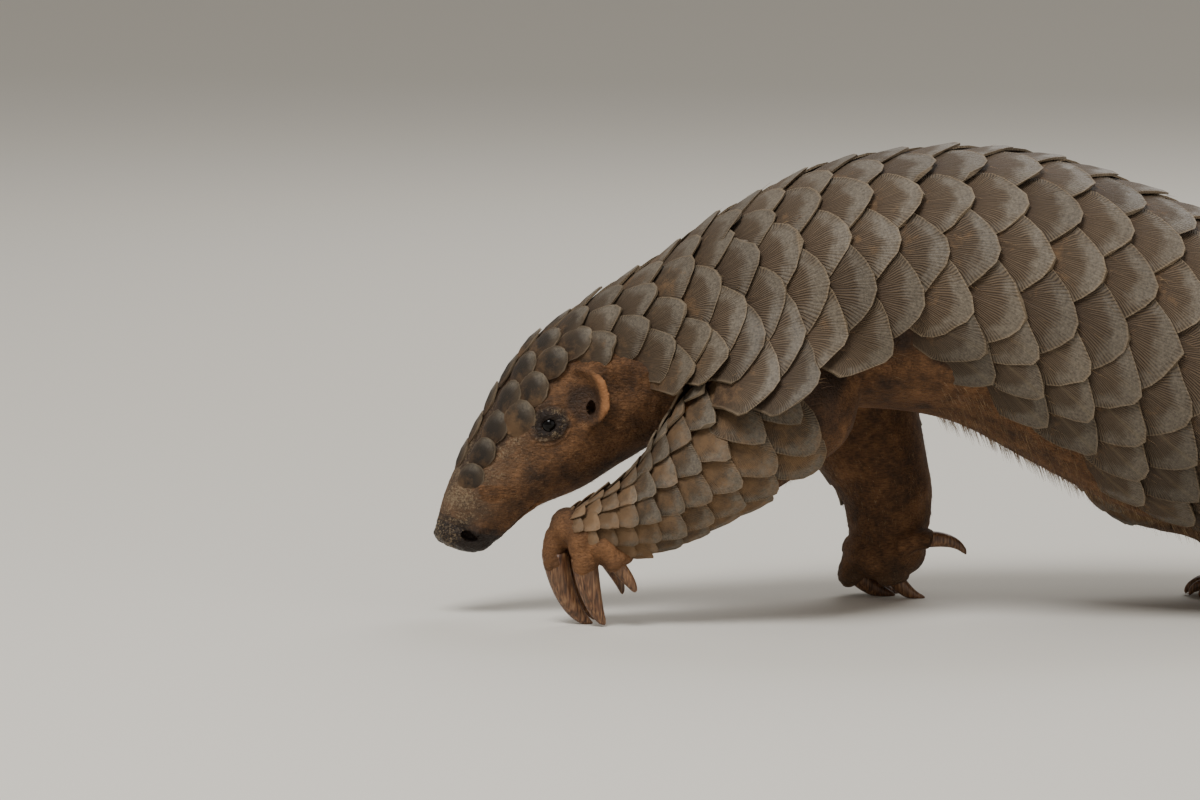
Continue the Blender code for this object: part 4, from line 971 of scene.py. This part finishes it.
def half_width_at(along, angle):
    """Half the width of a trunk scale, from the rows on each side of it."""
    others = []
    for _, points, both in SCALE_ROWS:
        if points[0][0] - ROW_REACH <= along <= points[-1][0] + ROW_REACH:
            turn = math.radians(between(points, along))
            others += [turn, -turn] if both else [turn]
    gaps = sorted(abs(math.remainder(turn - angle, 2 * math.pi)) for turn in others)
    near = [gap for gap in gaps if gap > LEAST_GAP][:2]
    rate = trunk.rate(np.array([along]), np.array([angle]))[0]
    return min(rate * min(sum(near) / len(near), 1.2 * near[0]), between(WIDEST, along))


def trunk_scales():
    """Each trunk scale as along, angle, lean, pitch, half width, lift and how keeled it is."""
    rows = []
    for lag, points, both in SCALE_ROWS:
        for along in row_places(lag, points[0][0], points[-1][0]):
            turn = math.radians(between(points, along))
            for side in (1, -1) if both else (1,):
                spread = random.uniform(*SIZES)
                angle = side * turn + random.uniform(-SWAY, SWAY)
                fade = between(SCALE_TURN_END, along)
                lean = side * fade * math.radians(between(SCALE_TURN, math.degrees(turn)))
                lean += random.uniform(-TRUNK_LEAN, TRUNK_LEAN)
                pitch = between(SCALE_PITCH, along) * spread
                width = half_width_at(along, side * turn) * spread
                keel = smooth_step(92, 112, math.degrees(turn)) * smooth_step(0.25, 0.28, along)
                rows.append((along, angle, lean, pitch, width, min(1.0, pitch / FULL_PITCH), keel))
    return np.array(rows)


def limb_scales(name):
    """The same seven numbers for each scale of a limb, in slanting rows that shrink with its girth."""
    form = forms[name]
    side = 1 if name.endswith("left") else -1
    pitch, half_width, ways, (first, last), start, ends = LIMB_SCALES[name]
    stops = np.linspace(first, last, 60)
    _, half, width = form.sections(np.interp(stops, form.lengths, form.places))
    size = (np.linalg.norm(half, axis=1) + width) / 2
    usual = size.mean()
    unrolled = np.concatenate(([0.0], np.cumsum(np.diff(stops) * usual / ((size[1:] + size[:-1]) / 2))))
    course = math.radians(between(ways, (first + last) / 2))
    ahead = np.array((math.cos(course), math.sin(course)))
    aside = np.array((-ahead[1], ahead[0]))
    middle = np.array((unrolled[-1] / 2, usual * math.radians((start + max(end for _, end in ends)) / 2)))
    rows = []
    for row in range(-ROWS_TRIED, ROWS_TRIED + 1):
        for step in range(-ROWS_TRIED, ROWS_TRIED + 1):
            spot = middle + ahead * pitch * (step + 0.5 * (row % 2)) + aside * half_width * row
            turn = spot[1] / usual
            along = np.interp(spot[0], unrolled, stops)
            if not (0 <= spot[0] <= unrolled[-1] and start <= math.degrees(turn) <= between(ends, along)):
                continue
            share = np.interp(along, stops, size) / usual * random.uniform(*SIZES)
            lean = side * math.radians(between(ways, along)) + random.uniform(-LIMB_LEAN, LIMB_LEAN)
            sizes = (pitch * share, half_width * share, LIMB_LIFT * share)
            rows.append((along, side * turn, lean, *sizes, LIMB_KEEL))
    return np.array(rows)


# The grid's faces, how round the point of the fan is, and how far back its sides start.
ACROSS, BACK = 10, 3
TIP_ROUND = 0.28
SIDE_BACK = 0.5
ROOT_NARROWER = 0.42


def scale_model():
    """One flat scale: across -1 to 1 in x, from its tip 0 back to its root in y, 0 on top in z.

    With it comes the same scale as a round disc, for the head.
    """
    deselect()
    bpy.ops.mesh.primitive_grid_add(x_subdivisions=ACROSS, y_subdivisions=BACK)
    piece = bpy.context.object
    piece.data.uv_layers[0].name = "fan"
    bpy.ops.object.mode_set(mode="EDIT")
    bpy.ops.mesh.select_mode(type="FACE")
    bpy.ops.mesh.select_all(action="SELECT")
    bpy.ops.mesh.extrude_region_move(TRANSFORM_OT_translate={"value": (0, 0, -1)})
    bpy.ops.mesh.select_all(action="SELECT")
    bpy.ops.mesh.normals_make_consistent(inside=False)
    bpy.ops.mesh.select_mode(type="EDGE")
    bpy.ops.mesh.select_all(action="DESELECT")
    bpy.ops.object.mode_set(mode="OBJECT")
    flat = spots_of(piece)
    # Underneath, every second line along the scale is left out.
    for line in piece.data.edges:
        one, other = flat[line.vertices[0]], flat[line.vertices[1]]
        under = one[2] < -0.5 and other[2] < -0.5 and abs(one[0] - other[0]) < 0.01
        line.select = under and round((one[0] + 1) * ACROSS / 2) % 2 == 1
    bpy.ops.object.mode_set(mode="EDIT")
    bpy.ops.mesh.dissolve_edges(use_verts=False)
    bpy.ops.object.mode_set(mode="OBJECT")
    grid = spots_of(piece)
    disc = grid.copy()
    disc[:, 0] = grid[:, 0] * np.sqrt(1 - grid[:, 1] ** 2 / 2)
    disc[:, 1] = 0.5 - 0.5 * grid[:, 1] * np.sqrt(1 - grid[:, 0] ** 2 / 2)
    across = 0.65 * grid[:, 0] + 0.35 * np.sin(grid[:, 0] * math.pi / 2)
    back = ((1 - grid[:, 1]) / 2) ** 1.25
    curve = 1 - np.sqrt(1 - np.clip(np.abs(across), 0, 1) ** 2.2)
    wedge = (np.hypot(across, TIP_ROUND) - TIP_ROUND) / (math.hypot(1, TIP_ROUND) - TIP_ROUND)
    reach = SIDE_BACK * (0.2 * curve + 0.8 * wedge)
    grid[:, 1] = reach + (1 - reach) * back
    grid[:, 0] = across * (1.0 - ROOT_NARROWER * smooth_step(0.3, 1.0, grid[:, 1]))
    piece.data.vertices.foreach_set("co", grid.ravel())
    return piece, disc


# Keratin, grey brown: growth ridges fan out from the root, about 0.8 mm apart at a large scale's
# edge, and are worn off in a smooth greyish patch towards the tip. The thin edge is paler, soil
# lodges near the root, and the round scales of the head are darker in their middle.
WEAR, PITS, SOIL = 0.008, 0.0013, 0.007
keratin, tree, shader = new_finish("worn_keratin", Roughness=0.6, Specular_IOR_Level=0.35)
fan = add_node(tree, "UVMap", uv_map="fan")
from_side, to_tip, _ = add_node(tree, "SeparateXYZ", fan).outputs
marked = add_node(tree, "Attribute", attribute_name="marks")
button = marked.outputs["Alpha"]
own, keel, dirt = add_node(tree, "SeparateColor", marked).outputs
place = add_node(tree, "TexCoord").outputs["Object"]
own_place = add_node(tree, "Math", own, 37.0, operation="MULTIPLY")
to_axis = add_node(tree, "Math", from_side, 0.5, operation="SUBTRACT")
aside = add_node(tree, "Math", to_axis, operation="ABSOLUTE")
spread = add_node(tree, "Math", to_tip, 0.15, operation="ADD")
spread = add_node(tree, "Math", to_axis, spread, operation="DIVIDE")
slow = add_node(tree, "Math", to_tip, 0.06, operation="MULTIPLY")
ray = add_node(tree, "CombineXYZ", spread, slow, own_place)
ridge = add_node(tree, "TexWave", Vector=ray, Scale=14.0, Distortion=3.0, Detail=2.0, Detail_Scale=2.5)
ridge = add_node(tree, "MapRange", ridge.outputs["Fac"], From_Min=0.05, From_Max=0.72)
wear = add_node(tree, "TexNoise", Vector=place, Scale=1 / WEAR, Detail=5.0, Roughness=0.6)
from_spot = add_node(tree, "VectorMath", fan, (0.5, 0.87, 0.0), operation="SUBTRACT")
from_spot = add_node(tree, "VectorMath", from_spot, (1.7, 3.0, 0.0), operation="MULTIPLY")
from_spot = add_node(tree, "VectorMath", from_spot, operation="LENGTH")
worn = add_node(tree, "Math", wear, 1.3, from_spot, operation="MULTIPLY_ADD")
worn = add_node(tree, "MapRange", worn, interpolation_type="SMOOTHSTEP", From_Min=1.40, From_Max=0.80)
body = add_node(tree, "ValToRGB", to_tip, stops=((0.25, "#523e2c"), (0.55, "#5e4d3a"), (0.95, "#625442")))
groove = add_node(tree, "Mix", ridge, "#291e16", body, data_type="RGBA")
colour = add_node(tree, "Mix", 0.75, body, groove, data_type="RGBA")
pits = add_node(tree, "TexNoise", Vector=place, Scale=1 / PITS, Detail=3.0, Roughness=0.8)
smooth = add_node(tree, "ValToRGB", pits, stops=((0.30, "#4a4238"), (0.70, "#7a7061")))
worn_share = add_node(tree, "Math", worn, 0.9, operation="MULTIPLY")
colour = add_node(tree, "Mix", worn_share, colour, smooth, data_type="RGBA")
heart = add_node(tree, "VectorMath", fan, (0.5, 0.5, 0.0), operation="DISTANCE")
heart = add_node(tree, "MapRange", heart, From_Min=0.46, From_Max=0.20, To_Max=0.75)
heart = add_node(tree, "Math", heart, button, operation="MULTIPLY")
colour = add_node(tree, "Mix", heart, colour, "#2c2722", data_type="RGBA")
crest = add_node(tree, "MapRange", aside, From_Min=0.035, From_Max=0.0, To_Max=0.16)
crest = add_node(tree, "Math", crest, keel, operation="MULTIPLY")
colour = add_node(tree, "Mix", crest, colour, "#9c8a6b", data_type="RGBA")
to_side = add_node(tree, "Math", aside, -34.0, 17.0, operation="MULTIPLY_ADD")
to_end = add_node(tree, "Math", to_tip, -46.0, 46.0, operation="MULTIPLY_ADD")
edge = add_node(tree, "Math", to_side, to_end, operation="MINIMUM")
rim = add_node(tree, "MapRange", edge, From_Min=1.9, From_Max=0.2, To_Max=0.5)
colour = add_node(tree, "Mix", rim, colour, "#927f66", data_type="RGBA")
soil = add_node(tree, "TexNoise", Vector=place, Scale=1 / SOIL, Detail=6.0, Roughness=0.75)
rooted = add_node(tree, "MapRange", to_tip, From_Min=0.85, From_Max=0.25, To_Max=0.25)
soil = add_node(tree, "Math", soil, rooted, operation="ADD")
soil = add_node(tree, "Math", dirt, 0.42, soil, operation="MULTIPLY_ADD")
soil = add_node(tree, "MapRange", soil, From_Min=0.80, From_Max=1.05, To_Max=0.75)
colour = add_node(tree, "Mix", soil, colour, "#87694a", data_type="RGBA")
tone_and_shade = add_node(tree, "MapRange", own, To_Min=0.84, To_Max=1.14)
# Keeled scales of the lower flank are darker: partly their own tone, partly painted shade of the body's
# underside.
tone_and_shade = add_node(tree, "Math", keel, -0.14, tone_and_shade, operation="MULTIPLY_ADD")
colour = add_node(tree, "HueSaturation", Value=tone_and_shade, Color=colour)
gloss = add_node(tree, "MapRange", worn, To_Min=0.70, To_Max=0.50)
gloss = add_node(tree, "Math", soil, 0.25, gloss, operation="MULTIPLY_ADD")
unworn = add_node(tree, "Math", worn, -0.85, 1.0, operation="MULTIPLY_ADD")
relief = add_node(tree, "Math", ridge, unworn, operation="MULTIPLY")
relief = add_node(tree, "Math", pits, 0.8, relief, operation="MULTIPLY_ADD")
bump = add_node(tree, "Bump", Strength=0.75, Distance=0.0005, Height=relief)
plug(shader.inputs["Base Color"], colour)
plug(shader.inputs["Roughness"], gloss)
plug(shader.inputs["Normal"], bump)

template, disc_spots = scale_model()
model_spots = spots_of(template)


# Where a shoulder or hip stands out of the trunk, the scales are carried out over it. How far is
# read by side view on a grid of 3 mm, spread a little, and smoothed.
SIDE_REACH = 0.2
FIELD_STEP = 0.003
FIELD_X = np.arange(-0.33, 0.13, FIELD_STEP)
FIELD_Z = np.arange(-0.01, 0.22, FIELD_STEP)
SPREADS = 2
BLURS = 4
body_only = outline_of([trunk])


def side_depths(tree, side):
    """How far out to the side an outline reaches, over the grid, or nothing where it isn't hit."""
    depths = np.full((len(FIELD_X), len(FIELD_Z)), np.nan)
    for i, x in enumerate(FIELD_X):
        for k, z in enumerate(FIELD_Z):
            spot = tree.ray_cast(Vector((x, side * SIDE_REACH, z)), Vector((0, -side, 0)))[0]
            if spot is not None:
                depths[i, k] = side * spot.y
    return depths


def neighbours(values):
    """The grid and its eight shifts by one step."""
    padded = np.pad(values, 1, mode="edge")
    rows, columns = values.shape
    return np.stack([padded[i:i + rows, k:k + columns] for i in range(3) for k in range(3)])


def swell_of(side):
    """How far the limbs stand out past the trunk on one side, over the grid."""
    body = side_depths(body_only, side)
    whole = side_depths(outline, side)
    known = ~np.isnan(body)
    swell = np.where(known, np.nan_to_num(whole - body), 0.0)
    for _ in range(SPREADS):
        swell = neighbours(swell).max(axis=0) * known
    share = known.astype(float)
    for _ in range(BLURS):
        swell, share = neighbours(swell).mean(axis=0), neighbours(share).mean(axis=0)
    return swell / np.maximum(share, 0.05)


swells = {side: swell_of(side) for side in (-1, 1)}
slopes = {side: np.gradient(field, FIELD_STEP) for side, field in swells.items()}


def on_grid(field, spots):
    """Values of a grid at points by side view, mixed from the four nearest."""
    x = np.clip((spots[:, 0] - FIELD_X[0]) / FIELD_STEP, 0, len(FIELD_X) - 1.001)
    z = np.clip((spots[:, 2] - FIELD_Z[0]) / FIELD_STEP, 0, len(FIELD_Z) - 1.001)
    i, k = x.astype(int), z.astype(int)
    x, z = x - i, z - k
    near = field[i, k] * (1 - x) + field[i + 1, k] * x
    far = field[i, k + 1] * (1 - x) + field[i + 1, k + 1] * x
    return near * (1 - z) + far * z


# Past the first distance from the middle the scales are held back, so that none passes the second.
SIDE_EASE, SIDE_MOST = 0.076, 0.083


def carried_out(spots, outs, share):
    """Points of the trunk moved sideways over shoulder and hip, and the way out of them there."""
    spots, outs = spots.copy(), outs.copy()
    for side in (-1, 1):
        here = spots[:, 1] * side > 0
        some = spots[here]
        out_to = np.abs(some[:, 1]) + share[here] * on_grid(swells[side], some)
        over = np.maximum(out_to - SIDE_EASE, 0.0) / (SIDE_MOST - SIDE_EASE)
        spots[here, 1] = side * (np.minimum(out_to, SIDE_EASE) + (SIDE_MOST - SIDE_EASE) * np.tanh(over))
        tilt = [share[here] * on_grid(slope, some) * np.abs(outs[here, 1]) for slope in slopes[side]]
        outs[here, 0] -= tilt[0]
        outs[here, 2] -= tilt[1]
    return spots, unit(outs)


def under_shoulder(angle):
    """How much of a swelling the scales at an angle round the trunk are carried over."""
    return smooth_step(160, 138, np.degrees(np.abs(angle)))


def copies(model, name, count):
    """So many copies of a small model in one mesh, in a line until they are bent into place."""
    select([model])
    bpy.ops.object.duplicate()
    piece = bpy.context.object
    piece.name = name
    apply_modifier(piece, "ARRAY", count=count, use_relative_offset=False, use_constant_offset=True,
                   constant_offset_displace=(3.0, 0.0, 0.0))
    return piece


# Chips and notches in the edge, as shares of a scale's length, and how far back they reach.
CHIP_DEPTH, CHIP_END = 0.009, 0.35
NOTCH_DEPTH, NOTCH_END, NOTCH_SHARE = 0.05, 0.2, 0.03
SIDE_DROP = 0.0007
KEEL_RISE = 0.0013
TRUNK_TILT, LIMB_TILT = 0.0003, 0.0005
FOOT_DUST, FOOT_DUST_FROM = 0.5, (0.105, 0.135)
LEAST_RATE = 0.006


def laid_flat(rows, across, back, button):
    """How far each vertex lies down the body and round it from its scale's tip, with worn edges."""
    _, _, lean, pitch, width, _, _ = (column[:, None] for column in rows.T)
    shape = across.shape
    chips = np.random.default_rng(len(rows)).normal(0.0, CHIP_DEPTH, shape) * (back < CHIP_END)
    notch = np.random.default_rng(len(rows) + 1).random(shape) < NOTCH_SHARE
    length = SCALE_LENGTH + (BUTTON_LENGTH - SCALE_LENGTH) * button
    forward = -(back + chips + NOTCH_DEPTH * notch * (back < NOTCH_END)) * length * pitch
    aside = across * (SCALE_SIDE + (BUTTON_SIDE - SCALE_SIDE) * button) * width
    return forward * np.cos(lean) - aside * np.sin(lean), forward * np.sin(lean) + aside * np.cos(lean)


def risen(rows, across, back, under, button, is_trunk):
    """How far each vertex stands out of the body, by its lift, tilt, keel and thickness."""
    along, angle, _, _, _, lift, keel = (column[:, None] for column in rows.T)
    rise = lift * between(SCALE_LIFTS, back * SCALE_LENGTH) - lift * SIDE_DROP * np.abs(across) ** 3
    dome = BUTTON_RISE * np.sqrt(np.clip(1 - across**2 - (2 * back - 1) ** 2, 0, 1)) + BUTTON_LIFT
    rise = rise * (1 - button) + button * (dome + BUTTON_TILT * (0.5 - back))
    if is_trunk:
        on_flank = smooth_step(70, 90, np.degrees(np.abs(angle)))
        rise = rise + MANTLE_LIFT * on_flank * smooth_step(0.27, 0.24, along)
    most = TRUNK_TILT if is_trunk else LIMB_TILT
    tilt = np.random.default_rng(len(rows) + 2).normal(0.0, most, (len(rows), 2))
    rise = rise + tilt[:, :1] * across + tilt[:, 1:] * (1 - back)
    rise = rise + keel * KEEL_RISE * np.clip(1 - np.abs(across) / 0.5, 0, 1) * np.clip(1 - back, 0, 1)
    return rise - np.where(under < -0.5, SCALE_THICKNESS * lift, 0.0)


def laid_scales(name, form, rows, span, is_trunk, dust):
    """A joined mesh of the scale's copies, each bent to the form at its own row's place."""
    piece = copies(template, name, len(rows))
    along, angle = rows[:, :1], rows[:, 1:2]
    button = is_trunk * smooth_step(*BUTTON_END, along)
    across, back, under = (column[None, :] + button * (disc_column - column)[None, :]
                           for column, disc_column in zip(model_spots.T, disc_spots.T))
    move_x, move_y = laid_flat(rows, across, back, button)
    rate = np.maximum(form.rate(rows[:, 0], rows[:, 1]), LEAST_RATE)[:, None]
    spots, outs = form.at(np.maximum(along + move_x, 0.0).ravel(), (angle + move_y / rate).ravel())
    if is_trunk:
        spots, outs = carried_out(spots, outs, np.broadcast_to(under_shoulder(angle), across.shape).ravel())
    rise = risen(rows, across, back, under, button, is_trunk)
    put_spots(piece, spots + outs * rise.reshape(-1, 1))
    draws = np.random.default_rng(len(rows) + 3).random(len(rows))
    worn_end = 0.0 if is_trunk else FOOT_DUST * smooth_step(*FOOT_DUST_FROM, rows[:, 0])
    dirt = np.clip(dust + worn_end + 0.35 * (draws * 7 % 1 - 0.5), 0, 1.3)
    tints = np.stack([draws, rows[:, 6], dirt, (button + 0 * along)[:, 0]], axis=1)
    marks = piece.data.color_attributes.new("marks", "FLOAT_COLOR", "POINT")
    marks.data.foreach_set("color", np.repeat(tints, len(model_spots), axis=0).ravel())
    set_patches(piece, form, rows, span)
    select([piece])
    bpy.ops.object.shade_smooth_by_angle(angle=math.radians(50))
    piece.data.materials.append(keratin)
    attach(piece, "root")


# A scale's patch for the baked colours fills most of its own room. Its top is the most of it,
# and its underside and edge, which hardly show, are a narrow strip beside that.
PATCH_SHARE = 0.9
TOP_MIDDLE, TOP_SHARE = 0.05, 0.84
UNDER_MIDDLE, UNDER_SHARE = -0.46, 0.06


def set_patches(piece, form, rows, span):
    """Give each scale its own patch on the skin unrolled flat, at its root, for the baked colours."""
    corner = np.empty(len(template.data.loops), int)
    template.data.loops.foreach_get("vertex_index", corner)
    hidden = np.zeros(len(corner), bool)
    for face in template.data.polygons:
        if any(model_spots[k][2] < -0.5 for k in face.vertices):
            hidden[face.loop_start:face.loop_start + face.loop_total] = True
    flat = (model_spots[corner][:, :2] - (0.0, 0.5)) * (0.5, -1.0)
    middle = np.where(hidden, UNDER_MIDDLE, TOP_MIDDLE)
    flat[:, 1] = middle + np.where(hidden, UNDER_SHARE, TOP_SHARE) * flat[:, 1]
    start, end = span
    girth = form.rate(rows[:, 0], rows[:, 1]) * 2 * math.pi
    size = PATCH_SHARE * np.stack([rows[:, 3] / (end - start), rows[:, 4] / girth], axis=1)
    centre = np.stack([(rows[:, 0] - start) / (end - start), rows[:, 1] / (2 * math.pi) % 1.0], axis=1)
    patch = centre[:, None] + flat[None, :, ::-1] * size[:, None]
    layer = piece.data.uv_layers.new(name="OFBake")
    layer.data.foreach_set("uv", patch.ravel())


# Each region of the trunk: its name, where it starts and ends, and how much soil lies on it.
TRUNK_REGIONS = (
    ("scales_head_neck", 0.0, 0.16, 0.35),
    ("scales_back", 0.16, 0.46, 0.2),
    ("scales_tail", 0.46, 0.76, 0.35),
)
LIMB_DUST = 0.75
rows_of_trunk = trunk_scales()
for name, start, end, dust in TRUNK_REGIONS:
    here = (rows_of_trunk[:, 0] >= start) & (rows_of_trunk[:, 0] < end)
    laid_scales(name, trunk, rows_of_trunk[here], (start, end), True, dust)
for name in LIMB_SCALES:
    laid_scales(f"scales_{name}", forms[name], limb_scales(name), (0.0, forms[name].length), False, LIMB_DUST)
bpy.data.objects.remove(template)

# Hair: thin stiff bristles fringe the belly and stand between the scales of the body, and a soft
# fuzz lies back over the throat and legs. One tapered hair is modelled and its copies are bent.
HAIR_SIDES = 3
HAIR_RINGS = 4
hair_model = rolled("hair", [[(math.cos(turn), math.sin(turn), ring / (HAIR_RINGS - 1))
                              for turn in turns_of(HAIR_SIDES)] for ring in range(HAIR_RINGS)])
hair_spots = spots_of(hair_model)

# Coarse hair, dull, from dark brown to straw in tufts 3 mm across.
TUFT = 0.003
bristle, tree, shader = new_finish("coarse_bristle", Roughness=0.6)
place = add_node(tree, "TexCoord").outputs["Object"]
tuft = add_node(tree, "TexNoise", Vector=place, Scale=1 / TUFT, Detail=2.0)
tint = add_node(tree, "ValToRGB", tuft, stops=((0.3, "#4a3526"), (0.5, "#7b5f43"), (0.7, "#ab9069")))
plug(shader.inputs["Base Color"], tint)
skin_tree = BVHTree.FromPolygons([Vector(spot) for spot in spots_of(skin)],
                                 [list(face.vertices) for face in skin.data.polygons])

# Each growth: form, how many, lengths along, degrees round, hair length, its thickness, how
# much it stands up, and how much it hangs.
GROWTHS = (
    ("hair_belly", "trunk", 3400, (0.250, 0.500), (128, 232), 0.0056, 0.00012, 1.1, 0.4),
    ("hair_throat", "trunk", 5200, (0.020, 0.160), (62, 298), 0.0022, 0.00005, 0.30, 0.1),
    ("hair_foreleg_left", "foreleg_left", 700, (0.060, 0.140), (150, 290), 0.0030, 0.00006, 0.4, 0.2),
    ("hair_foreleg_right", "foreleg_right", 1200, (0.040, 0.105), (-180, 180), 0.0026, 0.00006, 0.3, 0.2),
    ("hair_hindleg_left", "hindleg_left", 900, (0.030, 0.110), (-180, 180), 0.0028, 0.00006, 0.3, 0.2),
    ("hair_hindleg_right", "hindleg_right", 900, (0.030, 0.110), (-180, 180), 0.0028, 0.00006, 0.3, 0.2),
)


HAIR_PATCH = 0.003
HAIR_TAPER = 0.85


def grown(name, form, roots, outs, backs, sizes, thickness, droop, places):
    """A joined mesh of hairs from roots on the skin, each leaning and drooping its own way."""
    piece = copies(hair_model, name, len(roots))
    ways = unit(backs)
    across = unit(np.cross(ways, outs))
    upright = np.cross(across, ways)
    x, y, share = (column[None, :, None] for column in hair_spots.T)
    sizes = sizes[:, None, None]
    spots = roots[:, None] + ways[:, None] * share * sizes
    spots = spots + (across[:, None] * x + upright[:, None] * y) * thickness * (1 - HAIR_TAPER * share)
    spots = spots + np.array((0.0, 0.0, -1.0)) * droop * sizes * share**2
    put_spots(piece, spots)
    corner = np.empty(len(hair_model.data.loops), int)
    hair_model.data.loops.foreach_get("vertex_index", corner)
    flat = np.stack([hair_spots[corner, 2] - 0.5, 0.5 * hair_spots[corner, 0]], axis=1) * HAIR_PATCH
    layer = piece.data.uv_layers[0]
    layer.name = "OFBake"
    centre = np.stack([places[0] / form.length, places[1] / (2 * math.pi) % 1.0], axis=1)
    layer.data.foreach_set("uv", (centre[:, None] + flat[None]).ravel())
    piece.data.materials.append(bristle)
    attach(piece, "root")


# A hair is left out where scales cover the skin or the skin isn't near its place on the form.
COVER_EDGE, SKIN_NEAR, HAIR_SINK = 4, 0.008, 0.0002
HAIR_STRAY, HAIR_SIZES = 0.16, (0.55, 1.2)
AHEAD = 0.004
for name, form_name, count, span, turns, size, thickness, stand, droop in GROWTHS:
    form = forms[form_name]
    draws = np.random.default_rng(len(name) + count)
    along = draws.uniform(*span, count)
    angle = np.radians(draws.uniform(*turns, count))
    spots, outs = form.at(along, angle)
    ahead = unit(form.at(along + AHEAD, angle)[0] - spots)
    from_top = np.abs((np.degrees(angle) + 180) % 360 - 180)
    covered = (form is trunk) & (from_top < between(SCALED_TO, along) - COVER_EDGE)
    keep, roots = [], []
    for i in np.flatnonzero(~covered):
        found = skin_tree.ray_cast(Vector(spots[i] + outs[i] * SKIN_NEAR), Vector(-outs[i]), 0.02)
        if found[0] is not None:
            keep.append(i)
            roots.append(np.array(found[0]) - outs[i] * HAIR_SINK)
    backs = ahead[keep] + outs[keep] * stand + draws.normal(0.0, HAIR_STRAY, (len(keep), 3))
    sizes = size * draws.uniform(*HAIR_SIZES, len(keep))
    grown(name, form, np.array(roots), outs[keep], backs, sizes, thickness, droop, (along[keep], angle[keep]))

# Single bristles stand from under the scales, four to each on the flanks and one on the back.
FLANK_FROM = math.radians(60)
BRISTLED = (0.15, 0.48)
BRISTLE_SIZES, BRISTLE_THICKNESS = (0.004, 0.0085), 0.00009
BRISTLE_STAND, BRISTLE_STRAY, BRISTLE_DROOP = 0.35, 0.2, 0.2
draws = np.random.default_rng(11)
chosen = rows_of_trunk[(rows_of_trunk[:, 0] > BRISTLED[0]) & (rows_of_trunk[:, 0] < BRISTLED[1])]
chosen = np.repeat(chosen, np.where(np.abs(chosen[:, 1]) > FLANK_FROM, 4, 1), axis=0)
along = chosen[:, 0] + draws.uniform(-0.004, 0.002, len(chosen))
angle = chosen[:, 1] + draws.normal(0.0, 0.10, len(chosen))
spots, outs = trunk.at(along, angle)
ahead = unit(trunk.at(along + AHEAD, angle)[0] - spots)
spots, outs = carried_out(spots, outs, under_shoulder(chosen[:, 1]))
backs = ahead + outs * BRISTLE_STAND + draws.normal(0.0, BRISTLE_STRAY, (len(chosen), 3))
grown("hair_between_scales", trunk, spots + outs * 0.0004, outs, backs,
      draws.uniform(*BRISTLE_SIZES, len(chosen)), BRISTLE_THICKNESS, BRISTLE_DROOP, (along, angle))
bpy.data.objects.remove(hair_model)

# Floor, light and camera: a plain pale floor of matt paper, and a broad soft light from above
# and the left, with a weak one from the right and one from behind.
FLOOR_SIZE = 12.0
deselect()
bpy.ops.mesh.primitive_plane_add(size=FLOOR_SIZE, location=(0, 0, 0))
floor = bpy.context.object
floor.name = "floor"
paper, tree, shader = new_finish("pale_paper", Base_Color="#d9d4ca", Roughness=0.9)
floor.data.materials.append(paper)

world = bpy.data.worlds.new("studio")
bpy.context.scene.world = world
world.use_nodes = True
sky = world.node_tree.nodes["Background"]
plug(sky.inputs["Color"], "#efebe4")
plug(sky.inputs["Strength"], 0.45)

# Each light: name, place, size and power.
LIGHTS = (
    ("key", (-0.8, -1.1, 2.1), 1.0, 50),
    ("fill", (1.4, -1.6, 0.9), 1.6, 6),
    ("back", (0.4, 1.8, 1.6), 1.4, 20),
)
AIM = Vector((-0.15, 0.0, 0.09))
for name, place, size, power in LIGHTS:
    lamp = bpy.data.lights.new(name, "AREA")
    lamp.size = size
    lamp.energy = power
    lit = bpy.data.objects.new(name, lamp)
    lit.location = place
    lit.rotation_euler = (AIM - Vector(place)).to_track_quat("-Z", "Y").to_euler()
    bpy.context.scene.collection.objects.link(lit)

# The camera stands far off and low, and frames the model as the photo does.
CAMERA_TIPPED = math.radians(6)
CAMERA_DISTANCE = 4.0
CAMERA_AIM = Vector((-0.2737, 0.0, 0.0929))
LENS_LENGTH = 272.7
FILM_WIDTH = 36.0
lens = bpy.data.cameras.new("camera")
lens.sensor_width = FILM_WIDTH
lens.lens = LENS_LENGTH
camera = bpy.data.objects.new("camera", lens)
away = Vector((0.0, -math.cos(CAMERA_TIPPED), math.sin(CAMERA_TIPPED)))
camera.location = CAMERA_AIM + away * CAMERA_DISTANCE
camera.rotation_euler = (math.pi / 2 - CAMERA_TIPPED, 0.0, 0.0)
bpy.context.scene.collection.objects.link(camera)
bpy.context.scene.camera = camera
